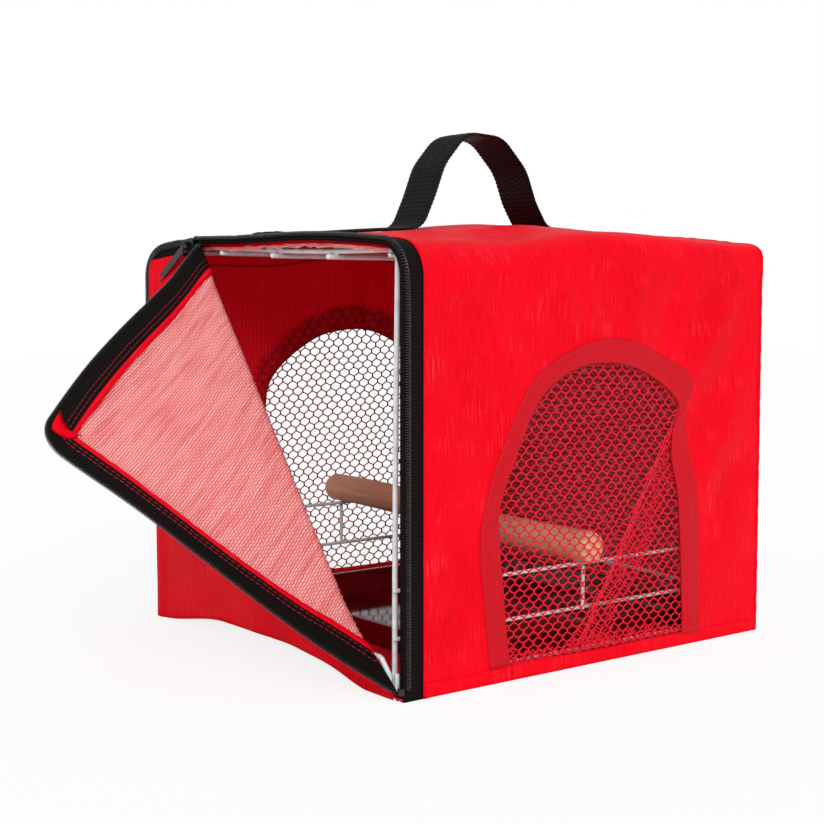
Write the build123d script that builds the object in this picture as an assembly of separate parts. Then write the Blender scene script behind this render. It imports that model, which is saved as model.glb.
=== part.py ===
from build123d import *
import math
import os

# Soft-sided travel carrier for a small bird, in millimetres.
# A welded wire cage stands inside a sewn cover with mesh windows, a zipped
# door flap and a webbing handle. A perch and a droppings tray sit in the cage.
# Origin: centre of the footprint, on the ground. +X is the right window side,
# -Y the door, +Z up. The top right half of the door is folded out.

# ------------------------------------------------------------------ cover
cover_width = 282.0  # X, over the side panels
cover_depth = 297.0  # Y, over the door edge and the back panel
shoulder_height = 254.0  # where the side lines would meet the crowned roof
cloth = 1.2  # coated nylon with its turned seams

crown = 11.0  # roof arc over the shoulders
rise_middle = 6.0  # the cloth stands this much higher over the middle than at the door
rise_back = 1.0
corner = 22.0  # roof to side radius, round the zip
side_seam_height = 228.0  # side panels end here and the roof sheet begins
roof_chords = 10  # straight runs in the roof arc and in each corner
corner_chords = 6

# ---------------------------------------------------------------- windows
window_half_width = 74.0  # open mesh
window_spring_height = 108.0  # where the arch starts
window_sill_right = 8.0  # lower edge of the right mesh
window_lift_left = 9.0  # the left window is sewn this much higher
binding_width = 16.0
binding_thickness = 1.0
mesh_thickness = 0.5
mesh_overlap = 14.0  # mesh sewn behind the panel
mesh_hem = 4.0  # and below its lower edge

# ----------------------------------------------------------------- zipper
chain_thickness = 2.4
spine_width = 1.0  # coil root that is stitched to the tape
tooth_reach = 2.2
tooth_tip_gap = 0.7
tooth_pitch = 6.0  # one modelled tooth for each three coil turns
tooth_width = 2.6
coil_gap = 0.2  # between a coil and the tape edge that it is stitched to
bend_step = 3.0  # straight runs of a coil's spine round the door's corners
roof_step = 15.0  # and over the roof
tape_width_body = 16.0
tape_width_flap = 14.0
tape_thickness = 0.8
flap_overlap = 6.0  # flap cloth over its tape
flap_cloth = 1.0
stop_length = 4.0
chain_foot_height = 4.0  # the chain starts this far above the ground
teeth_free_of_fold = 16.0  # the coil leaves off this far from the fold

fold_top_inset = 61.0  # the flap folds on a line from this far in at the door's top
fold_foot_inset = 2.0  # to here beside the bottom right corner
fold_foot_z = 3.0
fold_open_angle = 85.0  # from the closed door plane
fold_slit = 0.3  # half the width of the soft fold
fold_axis_lift = 0.2  # fold axis in front of the door cloth

slider_beside_fold = 10.0
slider_length = 13.0
slider_plate = 1.0
slider_play = 0.3
slider_inset = 8.6  # how far the plates reach from the cover's edge
slider_lip = 1.0
slider_wedge = 2.0
bail_radius = 0.8
bail_height = 2.6  # bail axis above the slider's front plate
bail_span = 5.0
bail_post = 1.4
tab_length = 47.0
tab_width = 5.0
tab_thickness = 1.4
tab_droop_angle = 31.0  # below level, pointing to the left
tab_eye_play = 0.3
tab_eye_wall = 1.1
tab_slot_length = 9.0
tab_slot_width = 2.2

# ------------------------------------------------------------- wire cage
wire_radius = 1.6
thin_wire_radius = 1.2
wire_sides = 10  # flats round a wire, close enough to round
weld_gap = 0.05
cage_side_gap = 15.3  # from the cover's lining to the uprights' centres
cage_front_gap = 5.7  # behind the cover's front edge
cage_back_gap = 5.0  # in front of the back panel
upright_drop = 5.0  # tops below the cover's shoulders
upright_foot = 4.0
wire_tip = 4.0  # wires run this far past the wire that they are welded to
rail_lower_z = 36.0
rail_upper_z = 63.5
roof_wire_drop = 6.8
roof_wires = 5
sill_front_z = 22.0
sill_back_z = 27.0
sill_shoulder = 8.5  # a sill turns down this far inside the uprights
sill_drop_z = 11.0
hook_tip_z = 15.0
sill_bend = 5.0
hook_play = 0.1

# ---------------------------------------------------------- perch and tray
perch_radius = 9.8
perch_overhang = 11.6  # beyond the rails' centres
perch_y = 4.0
perch_chamfer = 2.0
perch_groove = 1.5
groove_play = 0.4
perch_seat_gap = 0.15

tray_side_gap = 4.9  # to the uprights
tray_length = 230.0
tray_back_gap = 2.7  # to the back uprights
tray_height = 17.5
tray_wall = 2.0
tray_corner = 26.0
tray_draft = 12.0
tray_lip = 3.0
tray_lip_thickness = 1.8
tray_seat_gap = 0.2

# ----------------------------------------------------------------- handle
webbing_width = 32.0
webbing_thickness = 2.0
strap_gap = 0.1
loop_front_y = -46.0
loop_back_y = 73.0
loop_top_front_y = -9.0
loop_top_back_y = 37.0
loop_top_z = 332.5
loop_bend = 38.0
loop_seat_gap = 0.3

# ------------------------------------------------------------ worked out
half_width = cover_width / 2
half_depth = cover_depth / 2
roof_radius = (half_width**2 + crown**2) / (2 * crown)
roof_centre_z = shoulder_height + crown - roof_radius
corner_x = half_width - corner
corner_z = roof_centre_z + math.sqrt((roof_radius - corner) ** 2 - corner_x**2)
corner_turn = math.atan2(corner_z - roof_centre_z, corner_x)
door_y = -half_depth  # the cover's front edge, where the chain lies
roof_front_y = door_y + tape_width_body
roof_back_y = half_depth - cloth
chain_front_y = door_y - chain_thickness
inner_x = half_width - cloth
tooth_row_width = 2 * spine_width + tooth_reach + tooth_tip_gap
reference_inset = tooth_row_width / 2


def roof_height(x):
    """Height of the roof arc at x, at the door."""
    return roof_centre_z + math.sqrt(roof_radius**2 - x**2)


def rise_at(y):
    """How much higher the roof stands at y than at the door."""
    if y < 0:
        return rise_middle * (1 - min(1, y / roof_front_y))
    return rise_middle - (rise_middle - rise_back) * y / half_depth


def polar(centre_x, centre_z, radius, turn):
    """Point on a circle in X and Z."""
    return centre_x + radius * math.cos(turn), centre_z + radius * math.sin(turn)


def cross_section(inset=0.0, foot=0.0):
    """Face of the cover across X and Z: straight sides, round corners, crowned roof."""
    right = [(half_width - inset, foot)]
    for number in range(corner_chords + 1):
        turn = corner_turn * number / corner_chords
        right.append(polar(corner_x, corner_z, corner - inset, turn))
    half_roof = roof_chords // 2
    for number in range(1, half_roof + 1):
        turn = corner_turn + (math.pi / 2 - corner_turn) * number / half_roof
        right.append(polar(0, roof_centre_z, roof_radius - inset, turn))
    left = [(-x, z) for x, z in reversed(right[:-1])]
    return make_face(Polyline(*right, *left, close=True))


def door_layer(face, back_y, thickness):
    """Extrude a face drawn in X and Z forwards from back_y."""
    return Pos(0, back_y, 0) * extrude(Plane.XZ * face, amount=thickness)


def cover_layer(outer_inset, inner_inset):
    """Sheet between two insets of the cover's section, from the door to the back."""
    ring = cross_section(outer_inset) - cross_section(inner_inset, -corner)
    stations = [(door_y, 0.0), (roof_front_y, 0.0), (0.0, rise_middle), (half_depth, rise_back)]
    runs = []
    for (start_y, start_rise), (end_y, end_rise) in zip(stations, stations[1:]):
        way = Vector(0, end_y - start_y, end_rise - start_rise)
        start = Pos(0, start_y, start_rise) * (Plane.XZ * ring)
        runs.append(extrude(start, way.length, dir=way))
    return runs[0] + runs[1] + runs[2]


def block(low, high):
    """Box between two corners."""
    size = [b - a for a, b in zip(low, high)]
    middle = [(a + b) / 2 for a, b in zip(low, high)]
    return Pos(*middle) * Box(*size)


def round_bar(start, end, radius):
    """Straight round wire or rod."""
    axis = Vector(*end) - Vector(*start)
    bar = Solid.make_cylinder(radius, axis.length, Plane(origin=start, z_dir=axis))
    return bar


def wire(start, end, radius):
    """Straight cage wire."""
    along = Vector(*end) - Vector(*start)
    section = Plane(origin=start, z_dir=along) * RegularPolygon(radius, wire_sides)
    return extrude(section, along.length)


def bent_wire(points, bends, radius):
    """Wire swept along straight runs with tangent bends."""
    path = FilletPolyline(*points, radius=bends)
    section = Plane(origin=path @ 0, z_dir=path % 0) * RegularPolygon(radius, wire_sides)
    return sweep(section, path=path)


# ------------------------------------------------------------ sewn cover
shell = cover_layer(0.0, cloth)
far = 2 * cover_depth  # further than anything reaches


def make_cover():
    """Roof sheet, side, back and floor panels."""
    roof_room = block((-far, roof_front_y, side_seam_height), (far, roof_back_y, far))
    roof = shell & roof_room
    back_room = block((-far, -far, -far), (far, far, 0))
    back = Pos(0, 0, rise_back) * door_layer(cross_section(0, -rise_back), half_depth, cloth)
    back -= back_room
    floor = block((-inner_x, chain_front_y, 0), (inner_x, roof_back_y, cloth))
    return {"cover_roof": roof, "cover_back": back, "cover_floor": floor}


def arch(half_width_at_foot, foot, spring):
    """Window outline in Y and Z: straight sides under a half circle."""
    stem = Pos(0, (foot + spring) / 2) * Rectangle(2 * half_width_at_foot, spring - foot)
    head = Pos(0, spring) * Circle(half_width_at_foot)
    below = Pos(0, spring - half_width_at_foot) * Rectangle(
        2 * half_width_at_foot, 2 * half_width_at_foot
    )
    return stem + (head - below)


def side_sheet(face, side, inner, thickness):
    """Extrude a face drawn in Y and Z outwards from inner, on one side."""
    start = inner if side > 0 else -inner - thickness
    return Pos(start, 0, 0) * extrude(Plane.YZ * face, amount=thickness)


def make_window_side(name, side, lift):
    """One side panel with its arched window: cloth, mesh and outside binding."""
    sill = window_sill_right + lift
    spring = window_spring_height + lift
    opening = arch(window_half_width, sill, spring)
    panel_face = Pos((roof_front_y + roof_back_y) / 2, side_seam_height / 2) * Rectangle(
        roof_back_y - roof_front_y, side_seam_height
    )
    panel = side_sheet(panel_face - opening, side, inner_x, cloth)
    mesh_face = arch(window_half_width + mesh_overlap, sill - mesh_hem, spring)
    mesh = side_sheet(mesh_face, side, inner_x - mesh_thickness, mesh_thickness)
    band_face = arch(window_half_width + binding_width, sill, spring) - opening
    band = side_sheet(band_face, side, half_width, binding_thickness)
    return {
        "cover_side_" + name: panel,
        "window_mesh_" + name: mesh,
        "window_binding_" + name: band,
    }


# ---------------------------------------------------------------- zipper
side_run = corner_z - chain_foot_height
corner_run = corner_turn * (corner - reference_inset)
roof_run = (math.pi - 2 * corner_turn) * (roof_radius - reference_inset)
chain_length = 2 * side_run + 2 * corner_run + roof_run


def chain_point(run, inset):
    """Point beside the door edge: run along it from the bottom right, inset from it."""
    if run > chain_length / 2:
        x, z = chain_point(chain_length - run, inset)
        return -x, z
    if run <= side_run:
        return half_width - inset, chain_foot_height + run
    turn = (run - side_run) / (corner - reference_inset)
    if turn <= corner_turn:
        return polar(corner_x, corner_z, corner - inset, turn)
    roof_distance = run - side_run - corner_run
    turn = corner_turn + roof_distance / (roof_radius - reference_inset)
    return polar(0, roof_centre_z, roof_radius - inset, turn)


def run_at_roof(x):
    """Run along the door edge to the point of the roof arc at x."""
    radius = roof_radius - reference_inset
    return side_run + corner_run + (math.acos(x / radius) - corner_turn) * radius


def runs_between(start, end, step):
    """Evenly spaced runs from start to end, at most step apart."""
    count = math.ceil((end - start) / step)
    return [start + (end - start) * number / count for number in range(count + 1)]


corner_end = side_run + corner_run
bend_runs = runs_between(side_run, corner_end, bend_step)
bend_runs += runs_between(corner_end, chain_length - corner_end, roof_step)[1:-1]
bend_runs += runs_between(chain_length - corner_end, chain_length - side_run, bend_step)


def coil(start, end, root, tip, shift=0.0):
    """One coil row: a spine outside root with teeth that reach from root to tip."""
    outward = -1 if tip > root else 1
    count = int((end - start - shift - tooth_width) / tooth_pitch) + 1
    points = [chain_point(start, root)]
    for number in range(count):
        run = start + shift + number * tooth_pitch
        points += [
            chain_point(run + 0.01, root),
            chain_point(run + 0.01, tip),
            chain_point(run + tooth_width, tip),
            chain_point(run + tooth_width, root),
        ]
    points.append(chain_point(end, root))
    spine = root + outward * spine_width
    points.append(chain_point(end, spine))
    points += [chain_point(run, spine) for run in reversed(bend_runs) if start < run < end]
    points.append(chain_point(start, spine))
    face = make_face(Polyline(*points, close=True))
    return door_layer(face, door_y, chain_thickness)


body_root = spine_width
body_tip = body_root + tooth_reach
flap_root = tooth_row_width - spine_width
flap_tip = flap_root - tooth_reach
fold_top_x = fold_top_inset - half_width
fold_top_z = roof_height(fold_top_x)
fold_foot_x = half_width - fold_foot_inset
slider_x = fold_top_x - slider_beside_fold
closed_start = run_at_roof(slider_x + slider_length / 2 - slider_wedge - slider_lip)


def make_zipper():
    """Body tape, the closed chain, the two open coil rows and the end stops."""
    tape_room = block((-far, door_y, 0), (far, roof_front_y, far))
    tape = shell & tape_room
    tape -= block((-inner_x, door_y, 0), (inner_x, roof_front_y, cloth))
    body_open = coil(stop_length, closed_start, body_root, body_tip)
    closed_end = chain_length - stop_length
    body_closed = coil(closed_start + weld_gap, closed_end, body_root, body_tip)
    flap_closed = coil(
        closed_start + weld_gap, closed_end, flap_root, flap_tip, tooth_pitch / 2
    )
    stops = []
    for side, reach in ((1, body_tip), (-1, tooth_row_width)):
        low = min(side * half_width, side * (half_width - reach))
        high = max(side * half_width, side * (half_width - reach))
        foot = chain_foot_height
        stops.append(
            block(
                (low, chain_front_y, foot),
                (high, door_y, foot + stop_length - weld_gap),
            )
        )
    return {
        "zipper_tape_body": tape,
        "zipper_coil_body": body_open,
        "zipper_chain_closed": Compound(children=[body_closed, flap_closed]),
        "zipper_end_stops": Compound(children=stops),
    }


fold_start = Vector(fold_top_x, chain_front_y - fold_axis_lift, fold_top_z)
fold_end = Vector(fold_foot_x, chain_front_y - fold_axis_lift, fold_foot_z)
fold_direction = (fold_end - fold_start).normalized()
fold_axis = Axis(fold_start, fold_direction)


def beside_fold(sign):
    """Face in X and Z on one side of the fold line: 1 is the folded corner's."""
    start = Vector(fold_start.X, fold_start.Z)
    along = Vector(fold_direction.X, fold_direction.Z)
    away = Vector(-along.Y, along.X) * sign
    near = start + away * fold_slit
    points = [
        near - along * far,
        near + along * far,
        near + along * far + away * far,
        near - along * far + away * far,
    ]
    return make_face(Polyline(*[(p.X, p.Y) for p in points], close=True))


def make_door():
    """Flap cloth and tape, cut on the fold, with the folded half turned open."""
    tape_outer = cross_section(tooth_row_width + coil_gap, cloth)
    tape_edge = tooth_row_width + tape_width_flap
    tape_inner = cross_section(tape_edge)
    cloth_edge = tape_edge - flap_overlap
    cloth_face = cross_section(cloth_edge, cloth)
    tape_back_y = chain_front_y + flap_cloth + tape_thickness
    cloth_back_y = chain_front_y + flap_cloth
    coil_start = teeth_free_of_fold
    coil_end = run_at_roof(fold_top_x) - teeth_free_of_fold
    free_coil = coil(coil_start, coil_end, flap_root, flap_tip, tooth_pitch / 2)
    pieces = {}
    for name, sign in (("fixed", -1), ("folded", 1)):
        half = beside_fold(sign)
        tape = door_layer((tape_outer - tape_inner) & half, tape_back_y, tape_thickness)
        panel = door_layer(cloth_face & half, cloth_back_y, flap_cloth)
        pieces["door_tape_" + name] = tape
        pieces["door_panel_" + name] = panel
    pieces["zipper_coil_flap"] = free_coil
    for name in ("door_tape_folded", "door_panel_folded", "zipper_coil_flap"):
        pieces[name] = pieces[name].rotate(fold_axis, fold_open_angle)
    return pieces


def make_slider():
    """Slider with two plates, wedge, lips and bail, and its long pull tab."""
    top_z = roof_height(slider_x)
    tilt = math.degrees(math.asin(slider_x / roof_radius))
    place = Pos(slider_x, 0, top_z) * Rot(0, tilt, 0)
    front_y = chain_front_y - slider_play
    back_y = door_y + slider_play
    half = slider_length / 2
    edge = slider_lip + slider_play
    front_face = Pos(0, (edge - slider_inset) / 2) * RectangleRounded(
        slider_length, slider_inset + edge, 2.0
    )
    front_plate = door_layer(front_face, front_y, slider_plate)
    roof_clearance = cloth + 2 * slider_play
    back_face = Pos(0, -(roof_clearance + slider_inset) / 2) * RectangleRounded(
        slider_length, slider_inset - roof_clearance, 2.0
    )
    back_plate = door_layer(back_face, back_y + slider_plate, slider_plate)
    body = front_plate + back_plate
    wedge_low = -tooth_row_width + slider_play
    wedge_high = -body_tip - slider_play
    body += block(
        (half - slider_wedge - slider_lip, front_y, wedge_low),
        (half - slider_lip, back_y, wedge_high),
    )
    lip_y = front_y + slider_play + slider_lip
    body += block((-half + 2, front_y, slider_play), (half - 2, lip_y, edge))
    bar_y = front_y - slider_plate - bail_height
    bar_z = -slider_inset / 2
    post_reach = bail_span / 2 + bail_post
    turn = Pos(0, bar_y, bar_z) * Rot(0, 90 - tab_droop_angle - tilt, 0)
    bar = round_bar((-post_reach, 0, 0), (post_reach, 0, 0), bail_radius)
    bail = bar
    for side in (-1, 1):
        foot = block(
            (-bail_post / 2, -bail_radius, -bail_radius),
            (bail_post / 2, bail_height + slider_plate / 2, bail_radius),
        )
        bail += Pos(side * (bail_span + bail_post) / 2, 0, 0) * foot
    body += turn * bail
    slider = place * body

    eye_radius = bail_radius + tab_eye_play
    eye = Rot(0, 90, 0) * Cylinder(eye_radius + tab_eye_wall, bail_span - 1.0)
    outline = RectangleRounded(tab_width, tab_length, tab_width * 0.45)
    slot = Pos(0, -tab_length / 2 + tab_slot_length) * RectangleRounded(
        tab_slot_width, tab_slot_length, tab_slot_width * 0.45
    )
    blade = extrude(Plane.XZ * (Pos(0, -tab_length / 2 - eye_radius) * outline), tab_thickness / 2, both=True)
    blade -= extrude(Plane.XZ * (Pos(0, -tab_length / 2 - eye_radius) * slot), tab_thickness, both=True)
    tab = blade + eye
    tab -= Rot(0, 90, 0) * Cylinder(eye_radius, far)
    pull_tab = place * turn * tab
    return {"zipper_slider": slider, "zipper_pull_tab": pull_tab}


# -------------------------------------------------------------- wire cage
upright_x = inner_x - cage_side_gap
upright_front_y = door_y + cage_front_gap
upright_back_y = roof_back_y - cage_back_gap
upright_top = shoulder_height - upright_drop
roof_wire_z = shoulder_height - roof_wire_drop
upright_pitch = 2 * wire_radius + weld_gap
long_wire_x = upright_x + upright_pitch  # bottom wires, outside the uprights
rail_x = upright_x + wire_radius + thin_wire_radius + weld_gap
post_x = rail_x + 2 * thin_wire_radius + weld_gap
hook_radius = 2 * wire_radius + hook_play
hook_foot_z = cloth + wire_radius + weld_gap
bottom_wire_z = hook_foot_z + hook_radius
sill_front_y = upright_front_y - upright_pitch
sill_back_y = upright_back_y + upright_pitch
front_tip_y = sill_front_y - wire_radius - weld_gap
back_tip_y = sill_back_y + wire_radius


def make_side_frame(name, side):
    """One side of the cage: two uprights, bottom wire, two rails and their post."""
    pieces = {}
    for end, y in (("front", upright_front_y), ("back", upright_back_y)):
        x = side * upright_x
        pieces[f"frame_upright_{end}_{name}"] = wire(
            (x, y, upright_foot), (x, y, upright_top), wire_radius
        )
    rails = (
        ("bottom_wire", long_wire_x, bottom_wire_z, wire_radius),
        ("rail_lower", rail_x, rail_lower_z, thin_wire_radius),
        ("rail_upper", rail_x, rail_upper_z, thin_wire_radius),
    )
    for rail, x, z, radius in rails:
        reach = 0 if rail == "bottom_wire" else wire_radius + weld_gap
        start = (side * x, front_tip_y + reach, z)
        end = (side * x, back_tip_y - reach, z)
        pieces[f"frame_{rail}_{name}"] = wire(start, end, radius)
    pieces["frame_rail_post_" + name] = wire(
        (side * post_x, perch_y, rail_lower_z - thin_wire_radius),
        (side * post_x, perch_y, rail_upper_z - thin_wire_radius / 2),
        thin_wire_radius,
    )
    return pieces


def make_roof_grille():
    """Long wires under two cross wires, all welded."""
    pieces = {}
    outer_x = upright_x - upright_pitch
    for number in range(roof_wires):
        x = outer_x * (1 - 2 * number / (roof_wires - 1))
        pieces[f"roof_long_wire_{number + 1}"] = wire(
            (x, upright_front_y - wire_tip, roof_wire_z),
            (x, upright_back_y + wire_tip, roof_wire_z),
            wire_radius,
        )
    cross_z = roof_wire_z + upright_pitch
    for end, y in (
        ("front", upright_front_y + upright_pitch),
        ("back", upright_back_y - upright_pitch),
    ):
        reach = upright_x + wire_radius
        pieces["roof_cross_wire_" + end] = wire(
            (-reach, y, cross_z), (reach, y, cross_z), wire_radius
        )
    return pieces


def make_sill(y, z):
    """Cross wire near the floor whose ends hook under the bottom wires."""
    inner_leg = long_wire_x - hook_radius
    outer_leg = long_wire_x + hook_radius
    half_path = [
        (upright_x - sill_shoulder, y, z),
        (inner_leg, y, sill_drop_z),
        (inner_leg, y, hook_foot_z),
        (outer_leg, y, hook_foot_z),
        (outer_leg, y, hook_tip_z),
    ]
    left_path = [(-x, py, pz) for x, py, pz in reversed(half_path)]
    points = left_path + half_path
    foot_bend = hook_radius - 0.05
    bends = [foot_bend, foot_bend, sill_bend, sill_bend]
    return bent_wire(points, bends + bends[::-1], wire_radius)


def make_perch():
    """Dowel that rests in two saw grooves on the upper rails."""
    rail_top = rail_upper_z + thin_wire_radius
    centre_z = rail_top + perch_seat_gap + perch_radius - perch_groove
    half = rail_x + perch_overhang
    rod = round_bar((-half, perch_y, centre_z), (half, perch_y, centre_z), perch_radius)
    rod = chamfer(rod.edges().filter_by(GeomType.CIRCLE), perch_chamfer)
    groove_half = thin_wire_radius + groove_play
    for side in (-1, 1):
        rod -= block(
            (side * rail_x - groove_half, -far, 0),
            (side * rail_x + groove_half, far, centre_z - perch_radius + perch_groove),
        )
    return rod


def make_tray():
    """Shallow glossy pan with sloping walls, round corners and a turned lip."""
    foot_z = cloth + tray_seat_gap
    tray_width = 2 * (upright_x - wire_radius - tray_side_gap)
    centre_y = upright_back_y - wire_radius - tray_back_gap - tray_length / 2
    flare = tray_height * math.tan(math.radians(tray_draft))
    foot_width = tray_width - 2 * (tray_lip + flare)
    foot_length = tray_length - 2 * (tray_lip + flare)
    foot = RectangleRounded(foot_width, foot_length, tray_corner - flare)
    hollow_foot = RectangleRounded(
        foot_width - 2 * tray_wall, foot_length - 2 * tray_wall, tray_corner - flare - tray_wall
    )
    pan = extrude(foot, tray_height, taper=-tray_draft)
    lip = RectangleRounded(tray_width, tray_length, tray_corner + tray_lip)
    pan += Pos(0, 0, tray_height - tray_lip_thickness) * extrude(lip, tray_lip_thickness)
    pan -= Pos(0, 0, tray_wall) * extrude(hollow_foot, tray_height, taper=-tray_draft)
    return Pos(0, centre_y, foot_z) * pan


def make_handle():
    """Webbing: two flat sewn runs over the roof and a standing loop between them."""
    half = webbing_width / 2
    layer = cover_layer(-strap_gap - webbing_thickness, -strap_gap)
    gap = 0.8 * webbing_thickness
    front_room = block((-half, door_y, side_seam_height), (half, loop_front_y - gap, far))
    back_room = block((-half, loop_back_y + gap, side_seam_height), (half, half_depth, far))
    seat_z = shoulder_height + crown + max(rise_at(loop_front_y), rise_at(loop_back_y))
    swing_z = seat_z + loop_seat_gap + half
    foot_z = swing_z - half - webbing_thickness
    points = [
        (loop_front_y, foot_z),
        (loop_top_front_y, loop_top_z),
        (loop_top_back_y, loop_top_z),
        (loop_back_y, foot_z),
    ]
    line = FilletPolyline(*points, radius=loop_bend)
    ribbon = trace(line, line_width=webbing_thickness)
    loop = extrude(Plane.YZ * ribbon, half, both=True)
    keep = block((-far, -far, swing_z), (far, far, far))
    keep += Pos(0, 0, swing_z) * Rot(90, 0, 0) * Cylinder(half, far)
    return {
        "handle_strap_front": layer & front_room,
        "handle_strap_back": layer & back_room,
        "handle_loop": loop & keep,
    }


parts = {}
parts.update(make_cover())
parts.update(make_window_side("right", 1, 0.0))
parts.update(make_window_side("left", -1, window_lift_left))
parts.update(make_door())
parts.update(make_zipper())
parts.update(make_slider())
parts.update(make_side_frame("right", 1))
parts.update(make_side_frame("left", -1))
parts.update(make_roof_grille())
parts["frame_sill_front"] = make_sill(sill_front_y, sill_front_z)
parts["frame_sill_back"] = make_sill(sill_back_y, sill_back_z)
parts["perch"] = make_perch()
parts["tray"] = make_tray()
parts.update(make_handle())

os.makedirs("parts", exist_ok=True)
for name, shape in parts.items():
    export_step(shape, os.path.join("parts", name + ".step"))
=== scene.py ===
"""Soft travel carrier for a small bird, dressed round its solid frame.

A red nylon cover with netted windows stands over a white wire cage. Its zipped
door is folded half open on a diagonal. Lengths are millimetres until a mesh is
made, and every piece is made where it stands in the carrier's own frame.
"""

import logging
import math
from collections.abc import Callable, Iterable, Sequence
from dataclasses import dataclass, field
from enum import Enum

import bpy
import numpy as np
from mathutils import Matrix, Vector, noise


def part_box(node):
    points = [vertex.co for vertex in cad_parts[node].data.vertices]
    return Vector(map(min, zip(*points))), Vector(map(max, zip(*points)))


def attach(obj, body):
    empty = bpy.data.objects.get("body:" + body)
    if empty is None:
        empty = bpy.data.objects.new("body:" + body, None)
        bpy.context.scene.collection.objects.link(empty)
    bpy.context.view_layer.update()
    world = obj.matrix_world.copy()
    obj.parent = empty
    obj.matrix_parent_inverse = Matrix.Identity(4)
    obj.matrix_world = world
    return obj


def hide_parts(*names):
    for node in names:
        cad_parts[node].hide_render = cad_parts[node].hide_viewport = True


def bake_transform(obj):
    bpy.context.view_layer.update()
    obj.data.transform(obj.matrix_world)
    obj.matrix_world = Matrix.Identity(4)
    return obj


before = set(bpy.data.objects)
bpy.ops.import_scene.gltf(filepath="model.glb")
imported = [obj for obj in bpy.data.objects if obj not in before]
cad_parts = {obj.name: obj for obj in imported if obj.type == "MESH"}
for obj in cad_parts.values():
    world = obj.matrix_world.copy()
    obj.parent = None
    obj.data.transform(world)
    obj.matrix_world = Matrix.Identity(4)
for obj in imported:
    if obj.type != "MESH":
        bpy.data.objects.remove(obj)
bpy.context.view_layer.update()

LOG = logging.getLogger("carrier")
MM = 0.001
IMAGE_SIDE = 824
ARC_STEPS = 10  # runs in each rounded corner of a line

Flat = tuple[float, float]
Face = tuple[int, ...]
Line = list[Vector]
Node = bpy.types.Node
Piece = bpy.types.Object
Socket = bpy.types.NodeSocket
Tree = bpy.types.NodeTree

FLAT_MAP = "cloth_mm"  # coordinates on the flat cloth, in millimetres


class Body(Enum):
    """Rigid bodies of the frame that a dressed piece moves with."""

    CARRIER = "carrier"
    FLAP = "door_flap"
    HANDLE = "handle"
    PERCH = "perch"
    TRAY = "tray"


class Side(Enum):
    """Left and right side of the carrier, as the sign of X."""

    RIGHT = 1
    LEFT = -1


# ---- node helper
def linear(code: str) -> tuple[float, float, float, float]:
    """Turn an sRGB hex colour to linear light.

    Args:
        code: Six hex digits after a hash.

    Returns:
        Red, green, blue and an alpha of 1.
    """
    parts = [int(code[place : place + 2], 16) / 255 for place in (1, 3, 5)]
    bright = [p / 12.92 if p <= 0.04045 else ((p + 0.055) / 1.055) ** 2.4 for p in parts]
    return bright[0], bright[1], bright[2], 1.0


def add(tree: Tree, kind: str, links: dict | None = None, **settings) -> Node:
    """Add one node with its settings, values and links.

    Args:
        tree: Node tree to add to.
        kind: Blender's type name of the node, after ShaderNode.
        links: Input to a value, to the output socket that feeds it, or to a node whose first output does.
        settings: Properties of the node itself.

    Returns:
        The new node.
    """
    made = tree.nodes.new("ShaderNode" + kind)
    for name, value in settings.items():
        setattr(made, name, value)
    for name, value in (links or {}).items():
        if isinstance(value, (Node, Socket)):
            source = value.outputs[0] if isinstance(value, Node) else value
            tree.links.new(source, made.inputs[name])
        else:
            made.inputs[name].default_value = value
    return made


def cloth_place(tree: Tree, across: float, along: float) -> Socket:
    """Cloth coordinates scaled to a pattern's real size.

    Args:
        tree: Node tree to add to.
        across: Size of one repeat across the warp, in millimetres.
        along: Size of one repeat along the warp.

    Returns:
        Vector socket that grows by 1 for each repeat.
    """
    flat = add(tree, "UVMap", uv_map=FLAT_MAP)
    scale = (1 / across, 1 / along, 1)
    return add(tree, "Mapping", {"Vector": flat, "Scale": scale}).outputs[0]


def solid_place(tree: Tree, *size: float) -> Socket:
    """Object coordinates scaled to a pattern's real size, one length or one for each axis, in millimetres."""
    where = add(tree, "TexCoord")
    scale = tuple(1 / (length * MM) for length in (size if len(size) > 1 else size * 3))
    return add(tree, "Mapping", {"Vector": where.outputs["Object"], "Scale": scale}).outputs[0]


def blend_colours(tree: Tree, share: Socket, low: str, high: str, start: float, end: float) -> Socket:
    """Mix two hex colours by a pattern, low below start and high above end."""
    ramp = add(tree, "ValToRGB", {"Fac": share})
    ramp.color_ramp.elements[0].position = start
    ramp.color_ramp.elements[0].color = linear(low)
    ramp.color_ramp.elements[1].position = end
    ramp.color_ramp.elements[1].color = linear(high)
    return ramp.outputs["Color"]


def grain(tree: Tree, place: Socket, detail: float = 2.0, roughness: float = 0.5) -> Socket:
    """Value noise over scaled coordinates, from 0 to 1."""
    links = {"Vector": place, "Scale": 1.0, "Detail": detail, "Roughness": roughness}
    return add(tree, "TexNoise", links).outputs[0]


def relief(tree: Tree, shader: Node, height: Socket, depth: float, strength: float) -> None:
    """Raise the surface by a pattern of the given depth in millimetres."""
    bump = add(tree, "Bump", {"Height": height, "Distance": depth * MM, "Strength": strength})
    tree.links.new(bump.outputs[0], shader.inputs["Normal"])


def combine(tree: Tree, first: Socket, second: Socket, share: float) -> Socket:
    """Mix two patterns, share of the second."""
    return add(tree, "Mix", {"Factor": share, "A": first, "B": second}).outputs[0]


def paint(tree: Tree, shader: Node, pattern: Socket, low: str, high: str, start: float = 0.35,
          end: float = 0.65) -> None:
    """Colour the surface by a pattern, from one hex colour to another."""
    tree.links.new(blend_colours(tree, pattern, low, high, start, end), shader.inputs["Base Color"])


def dull(shader: Node, level: float) -> None:
    """Lower the shine that fibres, wood and paper have below a closed plastic surface's 0.5."""
    shader.inputs["Specular IOR Level"].default_value = level


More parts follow.
